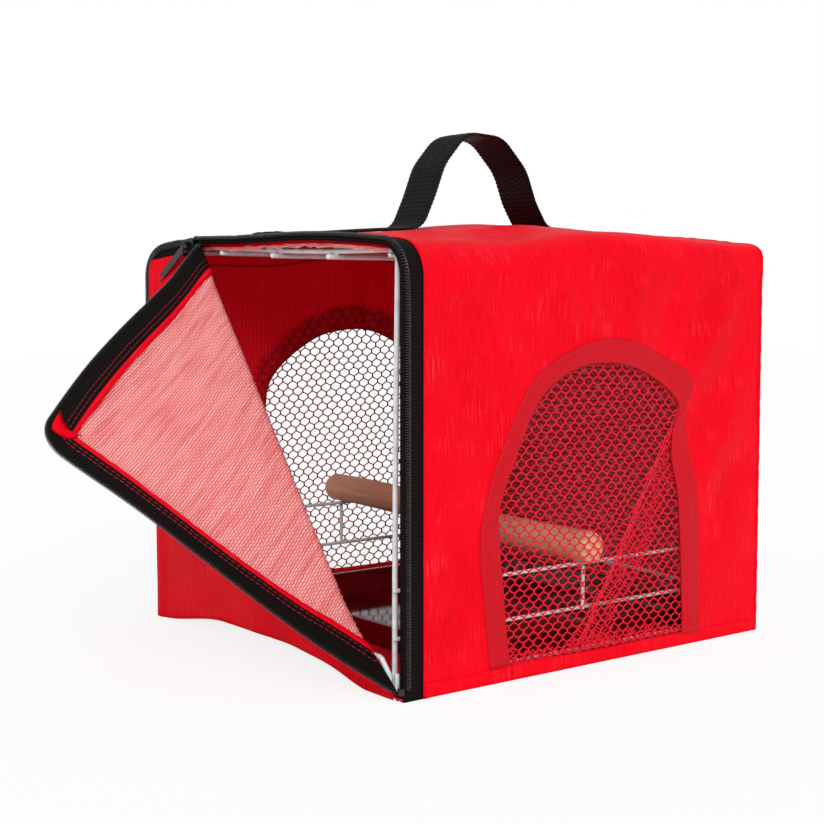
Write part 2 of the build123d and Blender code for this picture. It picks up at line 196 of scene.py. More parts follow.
def let_light_through(shader: Node) -> None:
    """Let light scatter through the thin nylon, so that the inside glows a little."""
    shader.inputs["Subsurface Weight"].default_value = 0.45
    shader.inputs["Subsurface Radius"].default_value = (1.0, 0.12, 0.1)
    shader.inputs["Subsurface Scale"].default_value = 2.2 * MM


# ---- finishes
@dataclass(frozen=True)
class Finish:
    """One material, made once and shared by the pieces that wear it."""

    name: str
    roughness: float = 0.5
    ior: float = 1.5

    def material(self) -> bpy.types.Material:
        """Return the material, and make it at the first call."""
        found = bpy.data.materials.get(self.name)
        if found:
            return found
        made = bpy.data.materials.new(self.name)
        made.use_nodes = True
        tree = made.node_tree
        tree.nodes.clear()
        shader = add(tree, "BsdfPrincipled", {"Roughness": self.roughness, "IOR": self.ior})
        add(tree, "OutputMaterial", {"Surface": shader})
        self.dress(tree, shader)
        return made

    def dress(self, tree: Tree, shader: Node) -> None:
        """Add the finish's own colour, pattern and relief."""
        raise NotImplementedError


@dataclass(frozen=True)
class CoatedTaffeta(Finish):
    """Nylon taffeta, dyed and coated on the back.

    The coating keeps the weave flat, so the eye sees a satin sheet with faint
    streaks along the warp where threads differ in thickness.
    """

    deep: str = "#dc0016"
    bright: str = "#f8041f"
    # painted sheen: pale colour for light caught along the satin's thicker streaks
    painted_sheen: str = "#ff4a58"
    thread: float = 1.1  # real threads are 0.2 mm, too fine to show at this distance
    slub: float = 16.0

    def dress(self, tree: Tree, shader: Node) -> None:
        """Streaks along the warp, a light cross thread, slow random changes of tone and painted sheen."""
        streak = grain(tree, cloth_place(tree, self.thread, self.slub), 2.0, 0.6)
        weft = grain(tree, cloth_place(tree, self.slub * 0.6, self.thread), 1.0, 0.5)
        broad = grain(tree, cloth_place(tree, 42.0, 60.0), 1.0, 0.5)
        weave = combine(tree, streak, weft, 0.3)
        shade = combine(tree, weave, broad, 0.35)
        colour = blend_colours(tree, shade, self.deep, self.bright, 0.36, 0.62)
        # Painted sheen: the pale colour is mixed over the thicker streaks, in patches.
        patch = grain(tree, cloth_place(tree, 30.0, 22.0), 2.0, 0.6)
        sheen_streaks = add(tree, "MapRange", {"Value": streak, "From Min": 0.52, "From Max": 0.72})
        where = add(tree, "MapRange", {"Value": patch, "From Min": 0.5, "From Max": 0.68, "To Max": 0.55})
        share = add(tree, "Math", {0: sheen_streaks, 1: where}, operation="MULTIPLY")
        mixed = add(tree, "Mix", {0: share, 6: colour, 7: linear(self.painted_sheen)}, data_type="RGBA")
        tree.links.new(mixed.outputs[2], shader.inputs["Base Color"])
        dull(shader, 0.05)
        let_light_through(shader)
        relief(tree, shader, weave, 0.35, 0.5)


@dataclass(frozen=True)
class RibbedLining(Finish):
    """Uncoated back of the nylon with fine ribs along the warp, coloured in the painted red light inside the cover.
    """

    # painted light: the pale back of the cloth as it looks in the red light that comes through the cover
    deep: str = "#dc0a22"
    bright: str = "#fb1c38"
    rib: float = 1.5  # drawn at four threads to a rib, so that it shows

    def dress(self, tree: Tree, shader: Node) -> None:
        """Fine ribs along the warp over uneven thread."""
        place = cloth_place(tree, self.rib, self.rib)
        ribs = add(tree, "TexWave", {"Vector": place, "Scale": 0.16, "Distortion": 0.4, "Detail": 1.0},
                   bands_direction="X")
        uneven = grain(tree, cloth_place(tree, 1.2, 20.0))
        weave = combine(tree, ribs.outputs["Fac"], uneven, 0.5)
        paint(tree, shader, weave, self.deep, self.bright, 0.2, 0.8)
        dull(shader, 0.08)
        let_light_through(shader)
        relief(tree, shader, weave, 0.3, 0.5)


@dataclass(frozen=True)
class DashWeave(Finish):
    """Red warp crossed by a pale weft that floats to the back of the cloth.

    The floats are short pale dashes in rows, staggered from row to row. Where
    they are dense the back of the cloth looks pink.
    """

    ground: str = "#dd4052"
    dash: str = "#ffbdb4"
    length: float = 3.6  # a few real floats drawn as one, so that they show
    row: float = 1.6
    gap: float = 0.36

    def dress(self, tree: Tree, shader: Node) -> None:
        """Staggered dashes, broken up where the weft tension changes."""
        place = cloth_place(tree, 1.0, 1.0)
        uneven = grain(tree, cloth_place(tree, 5.0, 2.0), 2.0, 0.6)
        wobble = add(tree, "Math", {0: uneven, 1: 0.9}, operation="MULTIPLY")
        drift = grain(tree, cloth_place(tree, 11.0, 7.0), 2.0, 0.6)
        wave = add(tree, "Math", {0: drift, 1: self.row * 1.4}, operation="MULTIPLY")
        pair = add(tree, "CombineXYZ", {"X": wobble, "Y": wave})
        shift = add(tree, "VectorMath", {0: place, 1: pair}, operation="ADD")
        links = {"Vector": shift, "Scale": 1.0, "Bias": 0.0, "Brick Width": self.length,
                 "Row Height": self.row, "Mortar Size": self.gap, "Mortar Smooth": 0.7,
                 "Color1": linear(self.dash), "Color2": linear(self.dash), "Mortar": linear(self.ground)}
        bricks = add(tree, "TexBrick", links, offset=0.5)
        patch = grain(tree, cloth_place(tree, 40.0, 3.2), 2.0, 0.6)
        share = add(tree, "MapRange", {"Value": patch, "From Min": 0.4, "From Max": 0.7, "To Max": 0.55})
        mixed = add(tree, "Mix",
                    {0: share, 6: bricks.outputs["Color"], 7: linear(self.ground)}, data_type="RGBA")
        tree.links.new(mixed.outputs[2], shader.inputs["Base Color"])
        dull(shader, 0.2)
        inverse = add(tree, "Math", {0: 1.0, 1: bricks.outputs["Fac"]}, operation="SUBTRACT")
        relief(tree, shader, inverse.outputs[0], 0.25, 0.6)


@dataclass(frozen=True)
class WovenTape(Finish):
    """Narrow tape woven with ribs across it, which catch light as fine bars."""

    deep: str = "#b30010"
    bright: str = "#cf0618"
    rib: float = 1.0
    specular: float = 0.3

    def dress(self, tree: Tree, shader: Node) -> None:
        """Ribs across the tape and uneven yarn."""
        place = cloth_place(tree, self.rib, self.rib)
        ribs = add(tree, "TexWave", {"Vector": place, "Scale": 0.16, "Distortion": 0.3, "Detail": 1.0},
                   bands_direction="Y")
        uneven = grain(tree, cloth_place(tree, 0.9, 5.0), 2.0, 0.6)
        weave = combine(tree, ribs.outputs["Fac"], uneven, 0.6)
        paint(tree, shader, weave, self.deep, self.bright, 0.3, 0.75)
        dull(shader, self.specular)
        relief(tree, shader, weave, 0.2, 0.6)


@dataclass(frozen=True)
class Yarn(Finish):
    """Knitted or sewn thread: a thin strand with a little twist in its shade."""

    deep: str = "#8d0015"
    bright: str = "#b9051f"
    twist: float = 1.2

    def dress(self, tree: Tree, shader: Node) -> None:
        """Shade that changes along the strand as its fibres turn."""
        fibre = grain(tree, solid_place(tree, self.twist))
        paint(tree, shader, fibre, self.deep, self.bright)
        dull(shader, 0.3)
        relief(tree, shader, fibre, 0.1, 0.5)


@dataclass(frozen=True)
class DrawnNylon(Finish):
    """Drawn nylon monofilament, wound to a coil and set by heat: smooth and glossy."""

    deep: str = "#0c0c0d"
    bright: str = "#1d1d20"

    def dress(self, tree: Tree, shader: Node) -> None:
        """Slightly uneven dye under a gloss."""
        dye = grain(tree, solid_place(tree, 3.0))
        paint(tree, shader, dye, self.deep, self.bright)
        relief(tree, shader, grain(tree, solid_place(tree, 0.8), 1.0), 0.03, 0.4)


@dataclass(frozen=True)
class BakedEnamel(Finish):
    """Die-cast zinc under black baked enamel, rubbed a little in patches."""

    deep: str = "#0b0a0b"
    bright: str = "#1d1b1d"

    def dress(self, tree: Tree, shader: Node) -> None:
        """Faint orange peel and rubbed patches in the gloss."""
        patch = grain(tree, solid_place(tree, 4.0), 3.0, 0.6)
        paint(tree, shader, patch, self.deep, self.bright)
        gloss = add(tree, "MapRange", {"Value": patch, "To Min": 0.14, "To Max": 0.34})
        tree.links.new(gloss.outputs[0], shader.inputs["Roughness"])
        relief(tree, shader, grain(tree, solid_place(tree, 0.9), 1.0), 0.04, 0.4)


@dataclass(frozen=True)
class PowderCoat(Finish):
    """Drawn steel wire under baked powder coat: nearly white, with a soft satin orange peel."""

    deep: str = "#d3dce0"
    bright: str = "#eef3f4"

    def dress(self, tree: Tree, shader: Node) -> None:
        """Uneven cover of the powder and its fine orange peel."""
        cover = grain(tree, solid_place(tree, 9.0), 3.0, 0.6)
        paint(tree, shader, cover, self.deep, self.bright)
        relief(tree, shader, grain(tree, solid_place(tree, 0.8)), 0.05, 0.5)


@dataclass(frozen=True)
class TurnedDowel(Finish):
    """Plain hardwood dowel, turned and left bare: straight pale grain with short pores."""

    deep: str = "#cf9270"
    bright: str = "#efc09c"

    def dress(self, tree: Tree, shader: Node) -> None:
        """Growth lines along the rod, broken by pores, over slow colour changes."""
        lines = grain(tree, solid_place(tree, 60.0, 2.4, 2.4), 4.0, 0.6)
        pores = grain(tree, solid_place(tree, 5.0, 0.7, 0.7), 2.0, 0.7)
        broad = grain(tree, solid_place(tree, 90.0, 12.0, 12.0))
        figure = combine(tree, combine(tree, lines, pores, 0.3), broad, 0.35)
        paint(tree, shader, figure, self.deep, self.bright, 0.36, 0.64)
        dull(shader, 0.3)
        relief(tree, shader, combine(tree, lines, pores, 0.5), 0.12, 0.5)


@dataclass(frozen=True)
class MouldedStyrene(Finish):
    """High-impact polystyrene, injection moulded in a polished tool: dark and glossy."""

    # painted light: the dark tray's maroon tint stands for the red light inside the cover
    deep: str = "#4a0308"
    bright: str = "#68070e"

    def dress(self, tree: Tree, shader: Node) -> None:
        """Slow flow marks and fine handling scuffs in the gloss."""
        flow = grain(tree, solid_place(tree, 60.0, 25.0, 25.0), 3.0)
        scuff = grain(tree, solid_place(tree, 14.0, 1.4, 3.0), 3.0, 0.7)
        paint(tree, shader, flow, self.deep, self.bright)
        gloss = add(tree, "MapRange",
                    {"Value": scuff, "From Min": 0.3, "From Max": 0.8, "To Min": 0.04, "To Max": 0.12})
        tree.links.new(gloss.outputs[0], shader.inputs["Roughness"])
        relief(tree, shader, scuff, 0.02, 0.3)


TAFFETA = CoatedTaffeta("coated_red_taffeta", roughness=0.5, ior=1.53)
# The lining is the cloth's pale back in painted red light; the pale weave is the same back in white light.
LINING_IN_RED_LIGHT = RibbedLining("ribbed_lining_painted_red_light", roughness=0.7, ior=1.53)
# The back panel's inside: the pale dashed back, redder and dimmer as painted red light inside the cover.
BACK_WEAVE_IN_RED_LIGHT = DashWeave("dashed_lining_painted_red_light", roughness=0.75, ior=1.53, ground="#e5133c", dash="#e9a3a6",
                       length=5.0, row=3.2, gap=1.1)
PALE_WEAVE = DashWeave("pale_weft_back", roughness=0.75, ior=1.53)
SATIN_TAPE = WovenTape("red_binding_tape", roughness=0.5, ior=1.53, deep="#b80010", bright="#cf0820", rib=0.8,
                       specular=0.15)
ZIP_TAPE = WovenTape("black_zip_tape", roughness=0.8, ior=1.55, deep="#070504", bright="#15100f", rib=1.2,
                     specular=0.1)
WEBBING = WovenTape("black_polypropylene_webbing", roughness=0.55, ior=1.49, deep="#060505", bright="#171514",
                    rib=1.6, specular=0.15)
NET_YARN = Yarn("red_net_yarn", roughness=0.55, ior=1.53, deep="#d20022", bright="#f30832")
# painted shade: the same red net yarn, darker for the left net and the inner seam, which lie in the cover's shade
SHADED_YARN = Yarn("net_yarn_painted_shade", roughness=0.6, ior=1.53, deep="#9c0018", bright="#c80424")
RED_THREAD = Yarn("red_sewing_thread", roughness=0.5, ior=1.55, deep="#8a0a20", bright="#c2152f", twist=0.7)
MATCHED_THREAD = Yarn("matched_red_thread", roughness=0.5, ior=1.55, deep="#c0041a", bright="#dd0a24", twist=0.7)
COIL = DrawnNylon("black_nylon_coil", roughness=0.2, ior=1.53)
ENAMEL = BakedEnamel("black_enamelled_zinc", roughness=0.2, ior=1.55)
WIRE = PowderCoat("white_powder_coat", roughness=0.36, ior=1.5)
DOWEL = TurnedDowel("bare_turned_dowel", roughness=0.6, ior=1.5)
STYRENE = MouldedStyrene("dark_styrene_painted_red_light", roughness=0.08, ior=1.59)


# ---- mesh drafting
@dataclass
class Draft:
    """Points, cloth coordinates, faces and their material slots, gathered for one mesh in millimetres."""

    points: list[Vector] = field(default_factory=list)
    flats: list[Flat] = field(default_factory=list)
    faces: list[Face] = field(default_factory=list)
    slots: list[int] = field(default_factory=list)

    def loft(self, rings: Sequence[Sequence[Vector]], flats: Sequence[Sequence[Flat]] | None = None,
             closed: bool = True, looped: bool = False) -> None:
        """Join rings of equal point counts by quads.

        Args:
            rings: Points of each ring, in order along the form.
            flats: Cloth coordinates of each point, or None for bare forms.
            closed: Each ring closes on itself, and a face closes the first and the last.
            looped: The last ring joins the first.
        """
        base, count = len(self.points), len(rings[0])
        for number, ring in enumerate(rings):
            self.points.extend(ring)
            self.flats.extend(flats[number] if flats else [(0.0, 0.0)] * count)
        spans = len(rings) if looped else len(rings) - 1
        across = count if closed else count - 1
        for number in range(spans):
            here = base + number * count
            there = base + ((number + 1) % len(rings)) * count
            for place in range(across):
                after = (place + 1) % count
                self.faces.append((here + place, here + after, there + after, there + place))
        if closed and not looped:
            last = base + (len(rings) - 1) * count
            self.faces.append(tuple(reversed(range(base, base + count))))
            self.faces.append(tuple(range(last, last + count)))

    def tube(self, path: Sequence[Vector], radius: float | Sequence[float], sides: int, looped: bool = False) -> None:
        """Sweep a circle along a path without twist.

        Args:
            path: Points of the centre line.
            radius: One radius, or one for each point.
            sides: Points round the tube.
            looped: The path closes on itself.
        """
        radii = list(radius) if isinstance(radius, Sequence) else [radius] * len(path)
        rings = []
        normal = None
        for number, point in enumerate(path):
            before = path[number - 1] if number or looped else point
            after = path[(number + 1) % len(path)] if number < len(path) - 1 or looped else point
            tangent = (after - before).normalized()
            if normal is None:
                normal = tangent.orthogonal()
            normal = (normal - tangent * normal.dot(tangent)).normalized()
            side = tangent.cross(normal)
            angles = [2 * math.pi * place / sides for place in range(sides)]
            rings.append([point + (normal * math.cos(angle) + side * math.sin(angle)) * radii[number]
                          for angle in angles])
        self.loft(rings, looped=looped)

    def rod(self, path: Sequence[Vector], radius: float) -> None:
        """Tube whose two ends are rounded, as a cropped and coated wire is."""
        nose = (0.0, 0.3, 0.62, 0.88, 1.0)
        start, end = (path[0] - path[1]).normalized(), (path[-1] - path[-2]).normalized()
        reach = radius * 0.7
        swell = [radius * (0.35 + 0.65 * math.sin(share * math.pi / 2)) for share in nose]
        line = [path[0] - start * reach * share for share in nose] + list(path[1:-1])
        line += [path[-1] - end * reach * share for share in reversed(nose)]
        self.tube(line, swell + [radius] * (len(path) - 2) + swell[::-1], 16)

    def flat_area(self) -> float:
        """Area of the cloth as it was cut, in square metres."""
        total = 0.0
        for face in self.faces:
            corners = [self.flats[point] for point in face]
            for (ax, ay), (bx, by) in zip(corners, corners[1:] + corners[:1]):
                total += (ax * by - bx * ay) / 2
        return abs(total) * MM * MM

    def build(self, name: str, *finishes: Finish, flip: bool = False, hard_ends: bool = False) -> Piece:
        """Make the Blender object.

        Args:
            name: Name of the piece.
            finishes: Materials of the slots.
            flip: Turn every face over.
            hard_ends: Shade the closing faces flat.

        Returns:
            The object, in metres.
        """
        mesh = bpy.data.meshes.new(name)
        faces = [tuple(reversed(face)) for face in self.faces] if flip else self.faces
        mesh.from_pydata([tuple(point * MM) for point in self.points], [], faces)
        mesh.polygons.foreach_set("material_index", self.slots or [0] * len(faces))
        mesh.polygons.foreach_set("use_smooth", [not hard_ends or len(face) == 4 for face in faces])
        layer = mesh.uv_layers.new(name=FLAT_MAP)
        layer.data.foreach_set("uv", [value for face in faces for point in face for value in self.flats[point]])
        for finish in finishes:
            mesh.materials.append(finish.material())
        mesh.update()
        made = bpy.data.objects.new(name, mesh)
        bpy.context.scene.collection.objects.link(made)
        return made


def thicken(piece: Piece, thickness: float) -> Piece:
    """Give a cloth its thickness behind its face, with the next material slot on the back."""
    solid = piece.modifiers.new("thickness", "SOLIDIFY")
    solid.thickness = thickness * MM
    solid.offset = -1.0
    solid.material_offset = 1
    graph = bpy.context.evaluated_depsgraph_get()
    graph.update()
    mesh = bpy.data.meshes.new_from_object(piece.evaluated_get(graph), depsgraph=graph)
    piece.modifiers.clear()
    piece.data = mesh
    return piece


def place(piece: Piece, slot: str, *nodes: str, body: Body = Body.CARRIER) -> Piece:
    """Let a piece ride on a body and stand for CAD nodes.

    Args:
        piece: The finished piece.
        slot: Material slot of the record; not used.
        nodes: CAD nodes that it replaces.
        body: Body it moves with.

    Returns:
        The same piece.
    """
    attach(piece, body.value)
    if nodes:
        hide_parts(*nodes)
    LOG.info("%s rides on %s", piece.name, body.value)
    return piece


def band(name: str, finish: Finish, rings: Sequence[Line], flats: Sequence[Sequence[Flat]] | None = None,
         flip: bool = False, hard_ends: bool = False) -> Piece:
    """Make a piece of one finish from rings that run along it."""
    draft = Draft()
    draft.loft(rings, flats)
    return draft.build(name, finish, flip=flip, hard_ends=hard_ends)


# ---- line helpers
def smoothstep(value: float) -> float:
    """Ease from 0 to 1."""
    held = max(0.0, min(1.0, value))
    return held * held * (3 - 2 * held)


def waver(a: float, b: float, c: float) -> float:
    """Smooth random value between -1 and 1 at a place."""
    return noise.noise(Vector((a, b, c)))


def spline(points: Sequence[Flat], steps: int) -> list[Flat]:
    """Smooth line through flat points, with steps between each two."""
    last = len(points) - 1
    made = []
    for number in range(last):
        ring = [points[max(0, min(last, number + offset))] for offset in (-1, 0, 1, 2)]
        for step in range(steps):
            t = step / steps
            made.append(tuple(
                0.5 * (2 * b + (c - a) * t + (2 * a - 5 * b + 4 * c - d) * t * t + (3 * b - a - 3 * c + d) * t**3)
                for a, b, c, d in zip(*ring)))
    made.append(tuple(points[-1]))
    return made


def between(start: Flat, end: Flat, share: float) -> Flat:
    """Flat point on the way from one to another."""
    return start[0] + (end[0] - start[0]) * share, start[1] + (end[1] - start[1]) * share


def shifted(line: Sequence[Flat], distance: float) -> list[Flat]:
    """Line moved sideways by a distance, to the left of its own direction."""
    made = []
    for number, (y, z) in enumerate(line):
        before, after = line[max(0, number - 1)], line[min(len(line) - 1, number + 1)]
        way = Vector((after[0] - before[0], after[1] - before[1])).normalized()
        made.append((y - way.y * distance, z + way.x * distance))
    return made


def even(points: Sequence[Sequence[float]], count: int) -> list[tuple[float, ...]]:
    """Place count points at even distances along a line."""
    line = np.array(points, float)
    lengths = np.concatenate([[0], np.cumsum(np.linalg.norm(np.diff(line, axis=0), axis=1))])
    wanted = np.linspace(0, lengths[-1], count)
    columns = [np.interp(wanted, lengths, line[:, axis]) for axis in range(line.shape[1])]
    return [tuple(float(value) for value in row) for row in zip(*columns)]


def length_of(points: Sequence[Sequence[float]]) -> float:
    """Length of a line."""
    line = np.array(points, float)
    return float(np.linalg.norm(np.diff(line, axis=0), axis=1).sum())


def rounded(points: Sequence[Vector], radii: Sequence[float]) -> Line:
    """Polyline whose inner corners are rounded by arcs.

    Args:
        points: Corners of the line.
        radii: Radius at each inner corner.

    Returns:
        Points of the rounded line.
    """
    line = [points[0]]
    for number in range(1, len(points) - 1):
        corner = points[number]
        back = (points[number - 1] - corner).normalized()
        ahead = (points[number + 1] - corner).normalized()
        half = back.angle(ahead) / 2
        if half > math.radians(89.5):
            line.append(corner)
            continue
        cut = radii[number - 1] / math.tan(half)
        centre = corner + (back + ahead).normalized() * (radii[number - 1] / math.sin(half))
        start, end = corner + back * cut, corner + ahead * cut
        a, b = start - centre, end - centre
        sweep = a.angle(b)
        for step in range(ARC_STEPS + 1):
            t = step / ARC_STEPS
            line.append(centre + (a * math.sin((1 - t) * sweep) + b * math.sin(t * sweep)) / math.sin(sweep))
    line.append(points[-1])
    return line


def nearest(nodes: np.ndarray, outline: np.ndarray) -> tuple[np.ndarray, np.ndarray]:
    """Nearest point of a closed outline to each node, and its distance."""
    starts, ends = outline, np.roll(outline, -1, axis=0)
    best = np.full(len(nodes), 1e9)
    found = np.zeros_like(nodes)
    for start, end in zip(starts, ends):
        run = end - start
        share = np.clip(((nodes - start) @ run) / max(run @ run, 1e-9), 0, 1)
        spot = start + share[:, None] * run
        gap = np.linalg.norm(nodes - spot, axis=1)
        closer = gap < best
        best[closer] = gap[closer]
        found[closer] = spot[closer]
    return found, best


def inside(nodes: np.ndarray, outline: np.ndarray) -> np.ndarray:
    """Whether each node lies inside a closed outline."""
    held = np.zeros(len(nodes), bool)
    x, y = nodes[:, 0], nodes[:, 1]
    for (ax, ay), (bx, by) in zip(outline, np.roll(outline, -1, axis=0)):
        crosses = (ay > y) != (by > y)
        if ay != by:
            held ^= crosses & (x < (bx - ax) * (y - ay) / (by - ay) + ax)
    return held


def cut_cloth(low: Flat, high: Flat, cell: float, outline: Sequence[Flat] | None = None,
              holes: Sequence[Sequence[Flat]] = ()) -> tuple[list[Flat], list[Face]]:
    """Cut a flat sheet to a grid of cells whose edges follow its outline and holes.

    Args:
        low: Lowest corner of the cloth.
        high: Highest corner.
        cell: Size of a cell.
        outline: Closed outer edge, or None for the whole rectangle.
        holes: Closed inner edges.

    Returns:
        Points and faces of the flat cloth.
    """
    columns = max(2, round((high[0] - low[0]) / cell))
    rows = max(2, round((high[1] - low[1]) / cell))
    xs, ys = np.linspace(low[0], high[0], columns + 1), np.linspace(low[1], high[1], rows + 1)
    nodes = np.array([(x, y) for y in ys for x in xs])
    edges = [(np.array(hole, float), False) for hole in holes]
    if outline is not None:
        edges.append((np.array(outline, float), True))
    moved = nodes.copy()
    for edge, is_outer in edges:
        spot, gap = nearest(nodes, edge)
        waste = inside(nodes, edge) != is_outer
        snap = (waste & (gap < 0.75 * cell)) | (~waste & (gap < 0.28 * cell))
        moved[snap] = spot[snap]
    faces = []
    for row in range(rows):
        for column in range(columns):
            first = row * (columns + 1) + column
            faces.append((first, first + 1, first + columns + 2, first + columns + 1))
    centres = moved[np.array(faces)].mean(axis=1)
    kept = np.ones(len(faces), bool)
    for edge, is_outer in edges:
        kept &= inside(centres, edge) == is_outer
    points: list[Flat] = []
    seats: dict[Flat, int] = {}
    cut = []
    for keep, face in zip(kept, faces):
        if not keep:
            continue
        ring = []
        for x, y in moved[list(face)].tolist():
            seat = (round(x, 4), round(y, 4))
            if seat not in seats:
                seats[seat] = len(points)
                points.append((x, y))
            if seats[seat] not in ring:
                ring.append(seats[seat])
        if len(ring) > 2:
            cut.append(tuple(ring))
    return points, cut


@dataclass(frozen=True)
class Fold:
    """Soft ridge or hollow in a cloth, along a line in its own millimetres."""

    start: Flat
    end: Flat
    width: float
    height: float

    def lift(self, a: float, b: float) -> float:
        """Height of the fold at a place of the cloth."""
        (ax, ay), (bx, by) = self.start, self.end
        run = (bx - ax, by - ay)
        square = run[0] ** 2 + run[1] ** 2
        share = ((a - ax) * run[0] + (b - ay) * run[1]) / square
        held = max(0.0, min(1.0, share))
        gap = math.hypot(a - ax - held * run[0], b - ay - held * run[1])
        fade = 0.25 + 0.75 * math.sin(math.pi * held)
        return self.height * fade * math.exp(-((gap / self.width) ** 2))


# ---- cover shape
@dataclass(frozen=True)
class CoverShape:
    """Form that the sewn cover takes over the cage."""

    half_width: float = 141.0
    half_depth: float = 148.5
    shoulder: float = 254.0
    crown: float = 11.0
    corner: float = 22.0
    rise_middle: float = 7.0
    rise_back: float = 2.0

    @property
    def roof_radius(self) -> float:
        """Radius of the roof arc."""
        return (self.half_width**2 + self.crown**2) / (2 * self.crown)

    @property
    def roof_centre(self) -> float:
        """Height of the roof arc's centre."""
        return self.shoulder + self.crown - self.roof_radius

    @property
    def corner_x(self) -> float:
        """Centre of the right corner's arc."""
        return self.half_width - self.corner

    @property
    def corner_z(self) -> float:
        """Height of the corner arcs' centres."""
        return self.roof_centre + math.sqrt((self.roof_radius - self.corner) ** 2 - self.corner_x**2)

    @property
    def corner_turn(self) -> float:
        """Angle that a corner turns through."""
        return math.atan2(self.corner_z - self.roof_centre, self.corner_x)

    @property
    def girth(self) -> float:
        """Length of the section from foot to foot."""
        roof = (math.pi - 2 * self.corner_turn) * self.roof_radius
        return 2 * (self.corner_z + self.corner_turn * self.corner) + roof

    def section(self, run: float, inset: float = 0.0, level: float = 0.0) -> tuple[float, float, float, float]:
        """Point of the section and its outward direction.

        Args:
            run: Distance from the right foot, measured at the inset given by level.
            inset: Distance inside the outer face.
            level: Inset at which run is measured.

        Returns:
            X, Z and the outward direction's X and Z.
        """
        side = self.corner_z
        bend = self.corner_turn * (self.corner - level)
        roof = (math.pi - 2 * self.corner_turn) * (self.roof_radius - level)
        whole = 2 * (side + bend) + roof
        if run > whole / 2:
            x, z, nx, nz = self.section(whole - run, inset, level)
            return -x, z, -nx, nz
        if run <= side:
            return self.half_width - inset, run, 1.0, 0.0
        if run <= side + bend:
            turn = (run - side) / (self.corner - level)
            radius = self.corner - inset
            nx, nz = math.cos(turn), math.sin(turn)
            return self.corner_x + radius * nx, self.corner_z + radius * nz, nx, nz
        turn = self.corner_turn + (run - side - bend) / (self.roof_radius - level)
        radius = self.roof_radius - inset
        nx, nz = math.cos(turn), math.sin(turn)
        return radius * nx, self.roof_centre + radius * nz, nx, nz

    def girth_at(self, level: float) -> float:
        """Length of the section at an inset."""
        return self.girth - 2 * self.corner_turn * level - (math.pi - 2 * self.corner_turn) * level

    def rise(self, y: float) -> float:
        """How much higher the roof stands at y than at the door."""
        if y < 8:
            return self.rise_middle * smoothstep((y + 64) / 72)
        return self.rise_middle - (self.rise_middle - self.rise_back) * smoothstep((y - 8) / 141)

    def rise_share(self, z: float) -> float:
        """Share of the roof's rise that the cover takes up at a height."""
        return smoothstep((z - 185) / (self.corner_z - 185))

    def push(self, run: float, y: float) -> float:
        """How far the roof's side edge is drawn out, sharper towards the back."""
        near = min(run, self.girth - run)
        middle = self.corner_z + 0.5 * self.corner_turn * self.corner
        return 4.6 * smoothstep((y + 90) / 190) * math.exp(-(((near - middle) / 9) ** 2))

    def edge_drop(self, x: float, y: float) -> float:
        """How much the door edge of the roof stands above its plain arc, humped by the open door's pull."""
        places = (-141, -131, -118, -106, -96, -88, -78, -62, -35, 0, 40, 80, 120, 141)
        heights = (0, 1.0, 2.6, 2.6, 1.6, 0.8, -0.4, -2.0, -4.0, -4.5, -3.4, -2.2, -0.8, 0)
        return float(np.interp(x, places, heights)) * smoothstep((-y - 70) / 70)

    def drawn(self, point: Vector) -> Vector:
        """Pull the left top corner of the door edge forward, and let the middle of its roof edge hang flatter."""
        share = smoothstep((-point.x - 96) / 42) * smoothstep((point.z - 60) / 160) * smoothstep((-point.y - 85) / 62)
        level = self.edge_drop(point.x, point.y) * smoothstep((point.z - 200) / 50)
        return point + Vector((0, -7.0 * share, level))

    def point(self, run: float, y: float, lift: float = 0.0) -> Vector:
        """Point of the cover at a run and a depth, lifted off its face."""
        x, z, nx, nz = self.section(run)
        rise = self.rise(y) * self.rise_share(z)
        lift += self.push(run, y)
        return self.drawn(Vector((x + nx * lift, y, z + nz * lift + rise)))

    def roof_top(self, y: float) -> float:
        """Height of the roof's ridge at y."""
        return self.shoulder + self.crown + self.rise(y) + self.edge_drop(0.0, y)


SHAPE = CoverShape()
ZIP_INSET = 2.45  # middle of the zip's chain, where runs along the zip are measured
ZIP_LENGTH = SHAPE.girth_at(ZIP_INSET)
COIL_PITCH = 1.45  # from turn to turn
COIL_STEPS = 8  # points in each turn
COIL_Y = -149.7  # middle of a coil that lies in the door's plane
COIL_REACH = 0.85  # from there to the middle of its yarn
COIL_YARN = 0.44  # radius of the yarn that winds


def window_edges(side: Side) -> tuple[list[Flat], list[Flat]]:
    """Outer and inner edge of a window's binding, from front foot to back foot, in Y and Z."""
    if side is Side.RIGHT:
        outer = ((-86, 9), (-91, 47), (-95, 86), (-89, 113), (-74, 144), (-59, 170), (-41, 185), (-13, 195),
                 (10, 198), (36, 194), (63, 184), (78, 175), (81.5, 166), (77, 154), (76, 145), (79, 127),
                 (86, 106), (90, 83), (91, 46), (92, 7))
        inner = ((-70, 10), (-76, 51), (-81, 92), (-77, 112), (-69, 128), (-61, 144), (-54, 157), (-44, 169),
                 (-31, 177), (-16, 182), (-1, 184), (17, 183), (36, 178), (53, 170), (65, 161), (70, 154),
                 (67, 146), (64, 138), (64, 122), (70, 100), (72, 77), (74, 48), (75, 7))
    else:
        outer = ((-82, 17), (-81, 60), (-79, 105), (-77, 145), (-71, 168), (-56, 186), (-35, 201), (-17, 208),
                 (1, 212), (20, 213), (39, 211), (56, 205), (73, 196), (87, 179), (96, 152), (98, 110), (96, 60),
                 (94, 17))
        inner = ((-66, 17), (-65, 60), (-63, 105), (-61.5, 140), (-58, 160), (-45, 175), (-27, 187), (-13, 193.5),
                 (2, 196.5), (20, 197.5), (34, 196), (48, 191.5), (62, 184), (74, 170), (81, 148), (82, 110),
                 (80, 60), (78, 17))
    return spline(outer, 5), spline(inner, 5)


